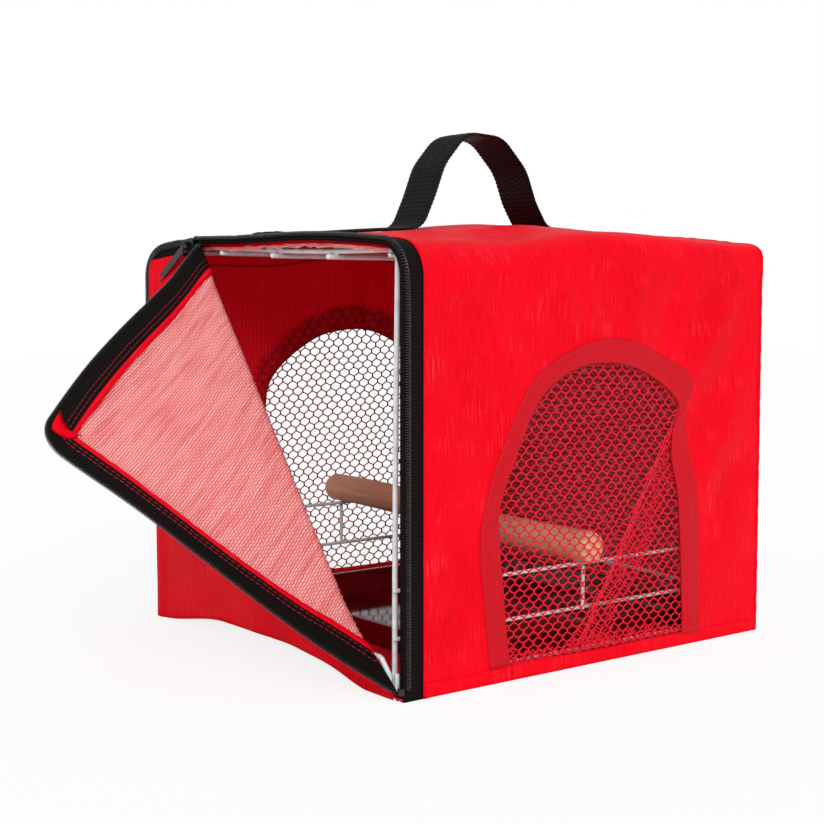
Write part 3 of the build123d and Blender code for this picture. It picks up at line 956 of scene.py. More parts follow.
# ---- sewn cover
@dataclass
class Tunnel:
    """Roof and both sides in one bent sheet, with the two window openings."""

    cell: float = 3.0
    thickness: float = 0.7
    front: float = -135.5
    hidden: float = 1.5  # how far under the binding the cloth's cut edge lies
    depth: float = 1.7  # what the height of every fold is multiplied by
    deepest: float = -1.0  # how far the cloth may sink in the way of the lifted perch
    folds: tuple[Fold, ...] = (
        Fold((-20, 198), (-34, 236), 7, 1.3),
        Fold((4, 200), (2, 240), 6, -1.2),
        Fold((26, 198), (36, 238), 7, 1.6),
        Fold((52, 190), (74, 236), 8, -1.8),
        Fold((78, 172), (124, 226), 10, 2.0),
        Fold((84, 150), (138, 190), 12, -1.6),
        Fold((92, 104), (128, 160), 13, 1.8),
        Fold((96, 60), (120, 110), 12, -1.2),
        Fold((-62, 176), (-104, 232), 9, 1.5),
        Fold((-80, 140), (-128, 196), 12, -1.6),
        Fold((-96, 92), (-124, 150), 13, 1.4),
        Fold((-100, 40), (-122, 92), 12, -1.0),
        Fold((-60, 205), (60, 214), 14, -0.8),
        Fold((-128, 214), (-90, 246), 8, 1.4),
    )
    roof_folds: tuple[Fold, ...] = (
        Fold((-110, 280), (60, 300), 16, -1.0),
        Fold((-90, 330), (40, 318), 14, 0.9),
        Fold((-100, 460), (80, 440), 16, 0.9),
        Fold((20, 300), (120, 340), 15, -0.9),
        Fold((30, 470), (120, 430), 15, 0.8),
    )

    @staticmethod
    def perch_way(y: float, z: float) -> float:
        """Share of the cloth at a point that has to leave room for the ends of the lifted perch."""
        return math.exp(-(((y - 4) / 20) ** 4)) * smoothstep((z - 50) / 20)

    def lift(self, run: float, y: float) -> float:
        """Height of the cloth's wrinkles off the plain form, in millimetres."""
        near = min(run, SHAPE.girth - run)
        lifts = [fold.lift(y, near) for fold in self.folds] + [fold.lift(y, run) for fold in self.roof_folds]
        slack = sum(lifts) * self.depth
        slack += 2.0 * waver(run * 0.011 + 3.1, y * 0.016, 0.7)
        slack += 0.7 * waver(run * 0.03, y * 0.045, 5.2)
        if slack < self.deepest:
            slack += (self.deepest - slack) * self.perch_way(y, near)
        edges = smoothstep((y - self.front) / 22) * smoothstep((SHAPE.half_depth - y) / 16) * smoothstep(near / 14)
        corner = 1 - 0.75 * math.exp(-(((near - SHAPE.corner_z - 14) / 14) ** 2))
        strap = smoothstep((abs(run - SHAPE.girth / 2) - 17) / 13)
        over_tape = 0.85 * (1 - smoothstep((y - self.front) / 6))
        return slack * edges * corner * strap + over_tape

    def outline(self, side: Side) -> list[Flat]:
        """Opening of one window as Y and run."""
        ring = shifted(window_edges(side)[1], self.hidden)
        return ring if side is Side.RIGHT else [(y, SHAPE.girth - z) for y, z in ring]

    def build(self) -> Piece:
        """Cut, bend, wrinkle and thicken the sheet."""
        holes = [self.outline(Side.RIGHT), self.outline(Side.LEFT)]
        points, faces = cut_cloth((self.front, 0.0), (SHAPE.half_depth, SHAPE.girth), self.cell, holes=holes)
        draft = Draft([SHAPE.point(run, y, self.lift(run, y)) for y, run in points], points, faces)
        area = draft.flat_area()
        piece = thicken(draft.build("cover_tunnel_cloth", TAFFETA, LINING_IN_RED_LIGHT), self.thickness)
        place(piece, "cover_cloth", "cover_roof", "cover_side_right", "cover_side_left")
        return piece


@dataclass
class EndPanels:
    """Back panel and floor of the cover, with the rolled seams that join them."""

    cell: float = 3.5
    thickness: float = 0.7
    seam_radius: float = 0.9

    @staticmethod
    def floor_lift(x: float, y: float) -> float:
        """Rise of the floor cloth near the door, where the door pulls it up."""
        return door_hem_lift(x) * smoothstep((-112 - y) / 34)

    def build(self) -> list[Piece]:
        """Make the back panel, the floor cloth and the seams."""
        return [self.back(), self.floor(), self.seams()]

    def back(self) -> Piece:
        """Back panel, slack between its seams."""
        spots = [SHAPE.point(SHAPE.girth * number / 120, SHAPE.half_depth) for number in range(121)]
        rim = [(spot.x, spot.z) for spot in spots]
        reach, top = max(x for x, _ in rim), max(z for _, z in rim)
        points, faces = cut_cloth((-reach, 0.0), (reach, top), self.cell, outline=rim)
        gaps = nearest(np.array(points), np.array(rim))[1]
        draft = Draft(flats=points, faces=faces)
        for (x, z), gap in zip(points, gaps):
            slack = 0.9 * waver(x * 0.014, z * 0.012, 9.3) + 0.5
            slack += 0.5 * math.sin(x * 0.05 + z * 0.02) * math.exp(-(((z - 215) / 40) ** 2))
            draft.points.append(Vector((x, SHAPE.half_depth + slack * smoothstep(gap / 18), z)))
        area = draft.flat_area()
        piece = thicken(draft.build("cover_back_panel", TAFFETA, BACK_WEAVE_IN_RED_LIGHT, flip=True), self.thickness)
        place(piece, "cover_cloth", "cover_back")
        return piece

    def floor(self) -> Piece:
        """Floor cloth under the tray, raised along the door."""
        reach = SHAPE.half_width - 0.9
        front, back = -150.2, SHAPE.half_depth - 0.8
        points, faces = cut_cloth((-reach, front), (reach, back), self.cell)
        draft = Draft(flats=points, faces=faces)
        for x, y in points:
            slack = 0.95 + 0.2 * waver(x * 0.03, y * 0.03, 2.0)
            draft.points.append(Vector((x, y, slack + self.floor_lift(x, y))))
        piece = thicken(draft.build("cover_floor_cloth", TAFFETA, LINING_IN_RED_LIGHT, flip=True), self.thickness)
        place(piece, "cover_cloth", "cover_floor")
        return piece

    def seams(self) -> Piece:
        """Rolled seams round the back panel and along the foot of both sides."""
        draft = Draft()
        line = []
        for number in range(241):
            run = SHAPE.girth * number / 240
            bulge = 0.25 * math.sin(number * 1.7) * math.sin(number * 0.31)
            line.append(SHAPE.point(run, SHAPE.half_depth - 0.2, -0.3 + bulge))
        line += [Vector((-SHAPE.half_width + 2 * SHAPE.half_width * number / 60, SHAPE.half_depth - 0.3, 0.75))
                 for number in range(1, 60)]
        draft.tube(line, self.seam_radius, 8, looped=True)
        for sign in (-1, 1):
            edge = [Vector((sign * (SHAPE.half_width - 0.2 + 0.15 * math.sin(number * 2.1)),
                            -134 + (SHAPE.half_depth + 133) * number / 89, 0.85)) for number in range(90)]
            draft.tube(edge, 0.85, 8)
        return place(draft.build("cover_rolled_seams", TAFFETA), "cover_cloth")


@dataclass
class WindowDressing:
    """Netting behind one window opening, the binding round it and the hem under it."""

    side: Side
    tunnel: Tunnel
    pitch: float
    row: float
    slope: float
    link: float
    link_radius: float
    strand_radius: float
    yarn: Yarn
    overlap: float = 14.0
    binding_rows: int = 170
    binding_width: float = 16.0
    net_gap: float = 0.75  # from the cloth's back to the middle of the yarn

    @property
    def label(self) -> str:
        """Word for the side in piece names."""
        return self.side.name.lower()

    def on_cloth(self, y: float, z: float, lift: float) -> Vector:
        """Point over the side panel at Y and Z, lifted off the wrinkled cloth."""
        run = z if self.side is Side.RIGHT else SHAPE.girth - z
        return SHAPE.point(run, y, self.tunnel.lift(run, y) + lift)

    def net_lift(self, y: float, z: float) -> float:
        """Height of the netting off the cloth's back, with its slack and pleats."""
        base = -self.tunnel.thickness - self.net_gap
        ripple = 0.8 * waver(y * 0.03, z * 0.03, 4.0 * self.side.value)
        if self.side is Side.LEFT:
            return base - abs(ripple) + self.bulge(y, z)
        pleat = Fold((80, 166), (-16, 14), 3.2, 4.2).lift(y, z) + Fold((74, 164), (-26, 14), 4.0, -2.6).lift(y, z)
        return base + min(0.4, pleat * 0.6 + ripple * 0.5) + self.bulge(y, z)

    @staticmethod
    def bulge(y: float, z: float) -> float:
        """How far the end of the perch holds the netting out."""
        return 2.4 * math.exp(-(((z - 72) / 26) ** 2) - (((y + 3) / 26) ** 2))

    def build(self) -> list[Piece]:
        """Make the netting, the binding, its stitches and the hem."""
        return [self.netting(), self.binding(), self.stitches(), self.hem(), self.inner_seam()]

    def inner_seam(self) -> Piece:
        """Ridge of the seam that joins the roof's lining to the side, on the inside."""
        line = []
        for number in range(120):
            y = -133 + 279 * number / 119
            z = 246.0 - 2.0 * smoothstep((y + 60) / 120) + 0.4 * waver(y * 0.05, 3.0, 8.0)
            line.append(self.on_cloth(y, z, -self.tunnel.thickness - 0.2))
        draft = Draft()
        draft.tube(line, 0.65, 8)
        # The seam's thread is the shaded yarn: painted shade.
        return place(draft.build("cover_inner_seam_" + self.label, SHADED_YARN), "cover_cloth")

    def netting(self) -> Piece:
        """Knitted netting as real strands: short upright links joined by slanting threads."""
        inner = window_edges(self.side)[1]
        ring = [(y, max(2.5, z)) for y, z in shifted(inner, self.overlap)]
        foot = min(z for _, z in inner) - 4.0
        ring = [(ring[0][0], foot)] + ring + [(ring[-1][0], foot)]
        draft = Draft()
        self.knit(draft, ring, self.pitch, self.row, self.link, 0.0)
        if self.side is Side.RIGHT:
            self.gather(draft)
        piece = draft.build("window_netting_" + self.label, self.yarn)
        return place(piece, "window_mesh", "window_mesh_" + self.label)

    def knit(self, draft: Draft, ring: Sequence[Flat], pitch: float, row_height: float, link: float,
             depth: float, shrink: float = 1.0) -> None:
        """Knit the meshes that lie inside an outline.

        Args:
            draft: Mesh that takes the strands.
            ring: Closed outline in Y and Z.
            pitch: Width of a mesh.
            row_height: Height of a row.
            link: Length of an upright link.
            depth: Lift off the netting's own level.
            shrink: Share of the yarn's full radius.
        """
        tilt = math.radians(self.slope)
        along, up = Vector((math.cos(tilt), math.sin(tilt))), Vector((-math.sin(tilt), math.cos(tilt)))
        middle = Vector((0.0, 100.0))
        rows, columns = int(135 / row_height), int(115 / pitch)
        strands = []
        for row in range(-rows, rows + 1):
            for column in range(-columns, columns + 1):
                joint = middle + along * ((column + 0.5 * (row % 2)) * pitch) + up * (row * row_height)
                low, high = joint - up * link / 2, joint + up * link / 2
                strands.append((low, high, self.link_radius * shrink))
                for step in (-0.5, 0.5):
                    far = joint + along * (step * pitch) + up * (row_height - link / 2)
                    strands.append((high, far, self.strand_radius * shrink))
        spots = np.array([tuple((a + b) / 2) for a, b, _ in strands])
        kept = inside(spots, np.array(ring))
        for keep, (start, end, radius) in zip(kept, strands):
            if keep:
                mid = (start + end) / 2
                path = [self.on_cloth(p.x, p.y, self.net_lift(p.x, p.y) + depth) for p in (start, mid, end)]
                draft.tube(path, [radius, radius * 0.92, radius], 5)

    def gather(self, draft: Draft) -> None:
        """Fold the net double along its pleat and its foot, where it was sewn in with too much width."""
        foot = [(-76, 3.5), (76, 3.5)]
        top = [(74 - 150 * n / 24, 16 + 9 * waver(n * 0.45, 9.0, 1.0)) for n in range(25)]
        self.knit(draft, foot + top, 5.3, 2.3, 1.0, -0.8)
        top = [(74 - 150 * n / 24, 11.5 + 5 * waver(n * 0.5, 2.0, 7.0)) for n in range(25)]
        self.knit(draft, foot + top, 6.7, 1.9, 0.8, -1.5)
        pleat = [(82, 166), (24, 70), (-22, 14), (8, 10), (44, 62), (84, 136)]
        self.knit(draft, pleat, 5.2, 3.3, 1.3, -1.0, 0.85)
        for offset in (0.0, 2.2):
            path = []
            for number in range(30):
                y, z = 78 - 94 * (number / 29) + offset, 165 - 152 * (number / 29)
                sway = 0.9 * waver(number * 0.4, offset, 2.0)
                path.append(self.on_cloth(y + sway, z, self.net_lift(y, z) + 0.35))
            draft.tube(path, 0.42, 6)

    def binding(self) -> Piece:
        """Woven tape sewn round the arch, soft-edged and puckered at its stitches."""
        outer, inner = window_edges(self.side)
        outer, inner = even(outer, self.binding_rows), even(inner, self.binding_rows)
        profile = ((0.0, 0.0), (0.0, 0.45), (0.05, 0.85), (0.14, 0.62), (0.3, 0.95), (0.5, 1.0), (0.7, 0.95),
                   (0.86, 0.62), (0.95, 0.85), (1.0, 0.45), (1.0, 0.0), (0.5, 0.0))
        rings, flats = [], []
        run = 0.0
        for number, (out, into) in enumerate(zip(outer, inner)):
            run += math.dist(out, outer[max(0, number - 1)])
            pucker = 0.18 * math.sin(number * 1.9) + 0.14 * math.sin(number * 0.7 + 1)
            rings.append([self.on_cloth(*between(out, into, share), height + pucker * 0.4 if height else -0.25)
                          for share, height in profile])
            flats.append([(share * self.binding_width, run) for share, _ in profile])
        piece = band("window_binding_tape_" + self.label, SATIN_TAPE, rings, flats, flip=self.side is Side.LEFT)
        return place(piece, "binding", "window_binding_" + self.label)

    def stitches(self) -> Piece:
        """Two rows of lockstitch along the binding."""
        outer, inner = window_edges(self.side)
        outer, inner = even(outer, 400), even(inner, 400)
        draft = Draft()
        for share in (0.13, 0.87):
            line = [self.on_cloth(*between(out, into, share), 0.66) for out, into in zip(outer, inner)]
            sew(draft, line, pitch=3.0, length=2.3, radius=0.2)
        return place(draft.build("window_stitches_" + self.label, MATCHED_THREAD), "binding")

    def hem(self) -> Piece:
        """Folded hem along the foot of the panel, under the window."""
        top = 8.5 if self.side is Side.RIGHT else 9.5
        profile = ((0.4, -0.2), (0.6, 0.5), (3.0, 0.75), (top - 2.4, 0.6), (top - 0.9, 0.75), (top, 0.35),
                   (top, -0.2), (3.0, -0.2))
        rings, flats = [], []
        for number in range(100):
            y = -134.5 + (SHAPE.half_depth + 133.5) * number / 99
            sway = 0.35 * waver(y * 0.05, 0.0, 7.0)
            rings.append([self.on_cloth(y, z + sway, lift) for z, lift in profile])
            flats.append([(y, z) for z, _ in profile])
        piece = band("cover_hem_" + self.label, TAFFETA, rings, flats, flip=self.side is Side.RIGHT)
        return place(piece, "cover_cloth")


def sew(draft: Draft, line: Sequence[Vector], pitch: float, length: float, radius: float) -> None:
    """Lay a row of stitches along a line on a surface.

    Args:
        draft: Mesh that takes the stitches.
        line: Points of the seam, on the surface.
        pitch: Distance from stitch to stitch.
        length: Length of thread that shows in each.
        radius: Radius of the thread.
    """
    count = max(2, int(length_of(line) / pitch))
    dense = [Vector(point) for point in even([tuple(p) for p in line], count * 8 + 1)]
    span = max(2, round(8 * length / pitch))
    for number in range(count):
        path = dense[number * 8 : number * 8 + span + 1 : 2]
        if len(path) > 2:
            radii = [radius * 0.55] + [radius] * (len(path) - 2) + [radius * 0.55]
            draft.tube(path, radii, 6)


# ---- door flap
def door_hem_lift(x: float) -> float:
    """How far the door's foot is drawn up off the ground at x."""
    return 11.0 * smoothstep((x + 139) / 90) * smoothstep((139 - x) / 120)


@dataclass(frozen=True)
class DoorFold:
    """Soft diagonal fold of the door, and the axis that its free corner turns on."""

    top_x: float = -80.0
    foot_x: float = 139.0
    foot_z: float = 3.0
    axis_y: float = -151.1
    open_angle: float = 85.0
    soft: float = 7.0

    @property
    def top(self) -> Vector:
        """Upper end of the fold axis."""
        z = SHAPE.roof_centre + math.sqrt(SHAPE.roof_radius**2 - self.top_x**2)
        return Vector((self.top_x, self.axis_y, z))

    @property
    def along(self) -> Vector:
        """Direction of the fold axis, downwards."""
        return (Vector((self.foot_x, self.axis_y, self.foot_z)) - self.top).normalized()

    @property
    def away(self) -> Vector:
        """Direction in the door plane from the fold to the free corner."""
        along = self.along
        return Vector((-along.z, 0.0, along.x))

    def ends(self) -> tuple[Vector, Vector]:
        """Where the bend starts and ends at rest, in millimetres."""
        turned = Matrix.Rotation(math.radians(self.open_angle), 3, self.along) @ self.away
        return self.top - self.away * self.soft, self.top + turned * self.soft

    def place(self, x: float, y: float, z: float) -> Vector:
        """Where a point of the closed door lies at rest, with the door folded open.

        The turn is the one that the fold's blend undoes, so the door closes flat.
        """
        top, along = self.top, self.along
        start, end = self.ends()
        way = end - start
        offset = Vector((x, y, z)) - top
        across = offset.dot(self.away)
        whole = math.radians(self.open_angle)
        if across < -self.soft * 2:
            return Vector((x, y, z))
        if across > self.soft * 2:
            return top + Matrix.Rotation(whole, 3, along) @ offset
        axial = along * offset.dot(along)
        radial = offset - axial
        normal = along.cross(radial)
        turn = whole * smoothstep((across + self.soft) / (2 * self.soft))
        for _ in range(40):
            spot = top + axial + radial * math.cos(turn) + normal * math.sin(turn)
            wanted = whole * smoothstep((spot - start).dot(way) / way.length_squared)
            turn += 0.5 * (wanted - turn)
        return top + axial + radial * math.cos(turn) + normal * math.sin(turn)

    def share(self, x: float, z: float) -> float:
        """How far a point is past the fold towards the free corner, in millimetres."""
        return (Vector((x, self.axis_y, z)) - self.top).dot(self.away)


FOLD = DoorFold()


@dataclass
class Door:
    """Folded door: cloth, zip tape, coil, seams and the tab at its free corner."""

    cell: float = 3.0
    thickness: float = 0.6
    tape_inner: float = 18.9
    cloth_edge: float = 12.9
    left_edge: float = 5.4
    slider_room: float = 3.6  # how much nearer the cloth comes to the edge where the slider waits
    ear_start: float = 305.0  # from the left foot, where the part that stays up begins
    ear_end: float = 228.0  # from the left foot, where the tape has its full width again
    tape_edge: float = 3.1
    cloth_y: float = -150.3
    over_zip: float = 1.2  # how much further out the cloth lies over the closed zip
    stitch_rows: tuple[float, ...] = (12.4, 15.2)

    def billow(self, x: float, z: float) -> float:
        """Slack of the door cloth outwards, in millimetres."""
        past = FOLD.share(x, z)
        edge = min(SHAPE.half_width - abs(x), SHAPE.roof_centre + math.sqrt(SHAPE.roof_radius**2 - x * x) - z)
        slack = 1.2 * waver(x * 0.02, z * 0.02, 1.4) + 0.5 * waver(x * 0.05, z * 0.06, 8.0)
        hold = smoothstep((edge - 10) / 22)
        if past > 0:
            return slack * hold * smoothstep(past / 30) + 2.5 * smoothstep(past / 70) * hold
        low = Fold((-125, 18), (20, 34), 16, -2.4).lift(x, z) + Fold((-90, 30), (60, 14), 9, 2.0).lift(x, z)
        return slack * hold * smoothstep(-past / 30) + low * smoothstep(-past / 20)

    def hang(self, x: float, z: float) -> float:
        """Height of a door point after its foot is drawn up."""
        return z + door_hem_lift(x) * smoothstep((70 - z) / 70)

    def bow(self, x: float, z: float, edge: float) -> Vector:
        """How far the hanging corner draws the fold off its straight line."""
        offset = Vector((x, FOLD.axis_y, z)) - FOLD.top
        reach = (Vector((FOLD.foot_x, FOLD.axis_y, FOLD.foot_z)) - FOLD.top).length
        level = float(np.interp(offset.dot(FOLD.along) / reach, (0, 0.25, 0.6, 0.8, 0.92, 1.0),
                                (0.25, 0.45, 0.85, 1.0, 0.75, 0.25)))
        fade = smoothstep((offset.dot(FOLD.away) + 60) / 60)
        return FOLD.away * (-level * fade * (7.0 + 5.0 * smoothstep(edge / 40)))

    def droop(self, x: float, z: float) -> Vector:
        """How far the free corner hangs down by its own weight."""
        past = FOLD.share(x, z)
        low = 1 - 0.4 * smoothstep((240 - z) / 80)
        return Vector((0, 0, -low * (4.0 * smoothstep(past / 45) + 2.5 * smoothstep((past - 110) / 50))))

    @staticmethod
    def foot_taper(run: float) -> float:
        """Share of the tape's width that is left near the hook of the sill, where it is drawn aside."""
        return smoothstep((run - 1.0) / 23.0)

    @staticmethod
    def foot_width(run: float) -> float:
        """How much wider the tape lies near its lower end, where it is pulled flat."""
        return 1 + 0.36 * (1 - smoothstep((run - 35) / 110))

    def rest(self, x: float, y: float, z: float) -> Vector:
        """Where a point of the closed door lies at rest."""
        edge = min(SHAPE.half_width - abs(x), SHAPE.roof_top(-148.5) - z)
        spot = SHAPE.drawn(Vector((x, y - self.billow(x, z), self.hang(x, z))))
        return FOLD.place(*spot) + self.bow(x, z, edge) + self.droop(x, z)

    def rest_edge(self, run: float, inset: float, y: float) -> Vector:
        """Where a point beside the zip lies at rest, run measured along the coil."""
        x, z, _, _ = SHAPE.section(run, inset, ZIP_INSET)
        spot = SHAPE.drawn(Vector((x, y, self.hang(x, z) if z < 70 else z)))
        return FOLD.place(*spot) + self.bow(x, z, inset) + self.droop(x, z)

    def left_inset(self, z: float) -> float:
        """How far the cloth stays from the left edge, where it hides the lower zip."""
        return float(np.interp(z, (0, 140, 185, 238), (0.6, 0.6, 4.8, self.left_edge)))

    def ear(self, run: float) -> float:
        """0 up to the part of the door that stays up at the left, and 1 along its top edge."""
        return smoothstep((run - ZIP_LENGTH + self.ear_start) / 25)

    def top_inset(self, run: float) -> float:
        """How far the cloth stays from the top edge, where the slider waits at the left."""
        return self.cloth_edge - self.slider_room * self.ear(run)

    def square_corner(self, run: float) -> Flat | None:
        """Edge of the cloth at the left top corner, which is cut square under the coil."""
        arc = SHAPE.corner_turn * (SHAPE.corner - ZIP_INSET)
        start = ZIP_LENGTH - SHAPE.corner_z - arc
        share = (run - start) / arc
        if not 0.0 <= share <= 1.0:
            return None
        start_x, start_z, _, _ = SHAPE.section(start, self.top_inset(start), ZIP_INSET)
        side = -SHAPE.half_width + self.left_edge
        across, down = min(1.0, share * 2), max(0.0, share * 2 - 1)
        return start_x + (side - start_x) * across, start_z + (SHAPE.corner_z - start_z) * down

    def build(self) -> list[Piece]:
        """Make every piece of the door."""
        return [self.cloth(), self.tape(), self.turned_edge(), self.tape_stitches(), self.coil(), self.corner_tab()]

    def join(self, piece: Piece, slot: str, *nodes: str) -> Piece:
        """Bake a door piece where it stands and hide the CAD nodes that it replaces."""
        start, end = FOLD.ends()
        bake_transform(piece)
        if nodes:
            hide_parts(*nodes)
        LOG.info("%s bends over the fold", piece.name)
        return piece

    def cloth(self) -> Piece:
        """One cloth over the fold: smooth outside, pale weave inside."""
        rim = []
        for number in range(201):
            run = ZIP_LENGTH * number / 200
            inset = self.cloth_edge - 6.0 * (1 - smoothstep(run / 24))
            if run > ZIP_LENGTH / 2:
                foot = ZIP_LENGTH - run
                inset = self.left_inset(foot) if foot < SHAPE.corner_z else self.top_inset(run)
            x, z, _, _ = SHAPE.section(run, inset, ZIP_INSET)
            rim.append(self.square_corner(run) or (x, max(1.0, z)))
        low, high, top = min(x for x, _ in rim), max(x for x, _ in rim), max(z for _, z in rim)
        points, faces = cut_cloth((low, 1.0), (high, top), self.cell, outline=rim)
        draft = Draft(flats=points, faces=faces)
        for x, z in points:
            over = smoothstep((-x - 129) / 5) * (1 - smoothstep((z - 150) / 60))
            draft.points.append(self.rest(x, self.cloth_y - self.over_zip * over, z))
        area = draft.flat_area()
        piece = thicken(draft.build("door_cloth", TAFFETA, PALE_WEAVE), self.thickness)
        self.join(piece, "cover_cloth", "door_panel_fixed", "door_panel_folded")
        return piece

    def tape(self) -> Piece:
        """Zip tape sewn inside the door's edge."""
        count = 330
        rings, flats = [], []
        profile = ((self.tape_edge, -148.8, -148.45), (5.4, -149.45, -148.75), (8.0, -149.55, -148.9),
                   (11.0, -149.55, -148.9), (14.0, -149.5, -148.9), (16.5, -149.55, -148.9),
                   (self.tape_inner, -149.5, -149.0))
        for number in range(count + 1):
            run = 1.0 + (ZIP_LENGTH - 2.0) * number / count
            sway = 0.3 * waver(run * 0.12, 0.0, 3.0)
            left = max(0.12, self.foot_taper(run)) * self.foot_width(run)
            left *= 1 - 0.38 * self.ear(run) * smoothstep((ZIP_LENGTH - self.ear_end - run) / 14)
            shape = [(self.tape_edge + (inset - self.tape_edge) * left, y, far) for inset, y, far in profile]
            front = [self.rest_edge(run, inset, y + sway * (inset - 3.6) / 15) for inset, y, _ in shape]
            back = [self.rest_edge(run, inset, y + sway * (inset - 3.6) / 15) for inset, _, y in shape]
            rings.append(front + back[::-1])
            flats.append([(inset, run) for inset, _, _ in profile] + [(inset, run) for inset, _, _ in profile[::-1]])
        piece = band("door_zip_tape", ZIP_TAPE, rings, flats)
        return self.join(piece, "zipper_tape", "door_tape_fixed", "door_tape_folded")

    def turned_edge(self) -> Piece:
        """Raw edge of the cloth, turned over along the inner side of the tape."""
        rings, flats = [], []
        for number in range(361):
            run = 19.0 + (ZIP_LENGTH - 21.0) * number / 360
            inner = 21.3 + 1.1 * waver(run * 0.035, 5.0, 3.0) + 0.5 * waver(run * 0.2, 0, 0)
            profile = ((17.6, -149.0), (17.8, -148.5), (19.3, -148.35), (inner - 0.4, -148.75), (inner, -149.3),
                       (19.0, -149.4))
            wide = self.foot_width(run)
            rings.append([self.rest_edge(run, self.tape_edge + (inset - self.tape_edge) * wide, y)
                          for inset, y in profile])
            flats.append([(inset, run) for inset, _ in profile])
        return self.join(band("door_turned_edge", TAFFETA, rings, flats), "cover_cloth")

    def tape_stitches(self) -> Piece:
        """Two rows of red lockstitch on the inner side of the door's tape."""
        draft = Draft()
        for inset in self.stitch_rows:
            line = []
            for number in range(500):
                run = 20.0 + (ZIP_LENGTH - 24.0) * number / 499
                sway = 0.35 * waver(run * 0.09, inset, 1.0)
                line.append(self.rest_edge(run, (inset + sway) * self.foot_width(run), -148.82))
            sew(draft, line, pitch=3.6, length=3.0, radius=0.24)
        return self.join(draft.build("door_tape_stitches", RED_THREAD), "binding")

    def coil(self) -> Piece:
        """Nylon coil along the free edge of the door."""
        draft = Draft()
        start, end = 6.0, ZIP_LENGTH / 2 + 85.5
        draft.tube(coil_path(start, end, 3.7, 1.3, math.pi, self.rest_edge), COIL_YARN, 5)
        cord = [self.rest_edge(start + (end - start) * number / 400, 4.0, COIL_Y) for number in range(401)]
        draft.tube(cord, 0.55, 6)
        return self.join(draft.build("zip_coil_door", COIL), "zipper_coil", "zipper_coil_flap")

    def corner_tab(self) -> Piece:
        """Scrap of red cloth caught in the seam where the tape turns the corner."""
        turn_run = SHAPE.corner_z + 0.5 * SHAPE.corner_turn * (SHAPE.corner - ZIP_INSET)
        profile = ((-1, 0.0), (-0.4, 0.45), (0.4, 0.6), (1, 0.1), (0.4, -0.25), (-0.4, -0.25))
        rings, flats = [], []
        for number in range(17):
            share = number / 16
            inset = 23.5 - 18.0 * share
            middle = turn_run + 13.0 * share**1.5
            width = 9.5 + 0.9 * math.sin(share * 7) - 2.2 * share**4
            wave = 0.35 * math.sin(share * 9)
            rings.append([self.rest_edge(middle + spread * width * 1.1, inset, -148.1 + back + wave)
                          for spread, back in profile])
            flats.append([(spread * width, inset) for spread, _ in profile])
        return self.join(band("door_corner_tab", TAFFETA, rings, flats), "cover_cloth")


def windings(start: float, end: float, phase: float = 0.0) -> list[tuple[float, float, float]]:
    """Run, sideways share and height share of each point of a winding coil."""
    made = []
    for number in range(int((end - start) / COIL_PITCH * COIL_STEPS) + 1):
        angle = 2 * math.pi * number / COIL_STEPS + phase
        made.append((start + number * COIL_PITCH / COIL_STEPS, math.cos(angle), math.sin(angle)))
    return made


def coil_path(start: float, end: float, centre: float, reach: float, phase: float,
              spot: Callable[[float, float, float], Vector]) -> Line:
    """Winding line of one coil row.

    Args:
        start: Run where the coil starts.
        end: Run where it ends.
        centre: Inset of its middle.
        reach: How far it swings to each side.
        phase: Angle of its first point.
        spot: Function that gives the point at a run, an inset and a Y.

    Returns:
        Points of the winding.
    """
    return [spot(run, centre + reach * across, COIL_Y + COIL_REACH * out)
            for run, across, out in windings(start, end, phase)]


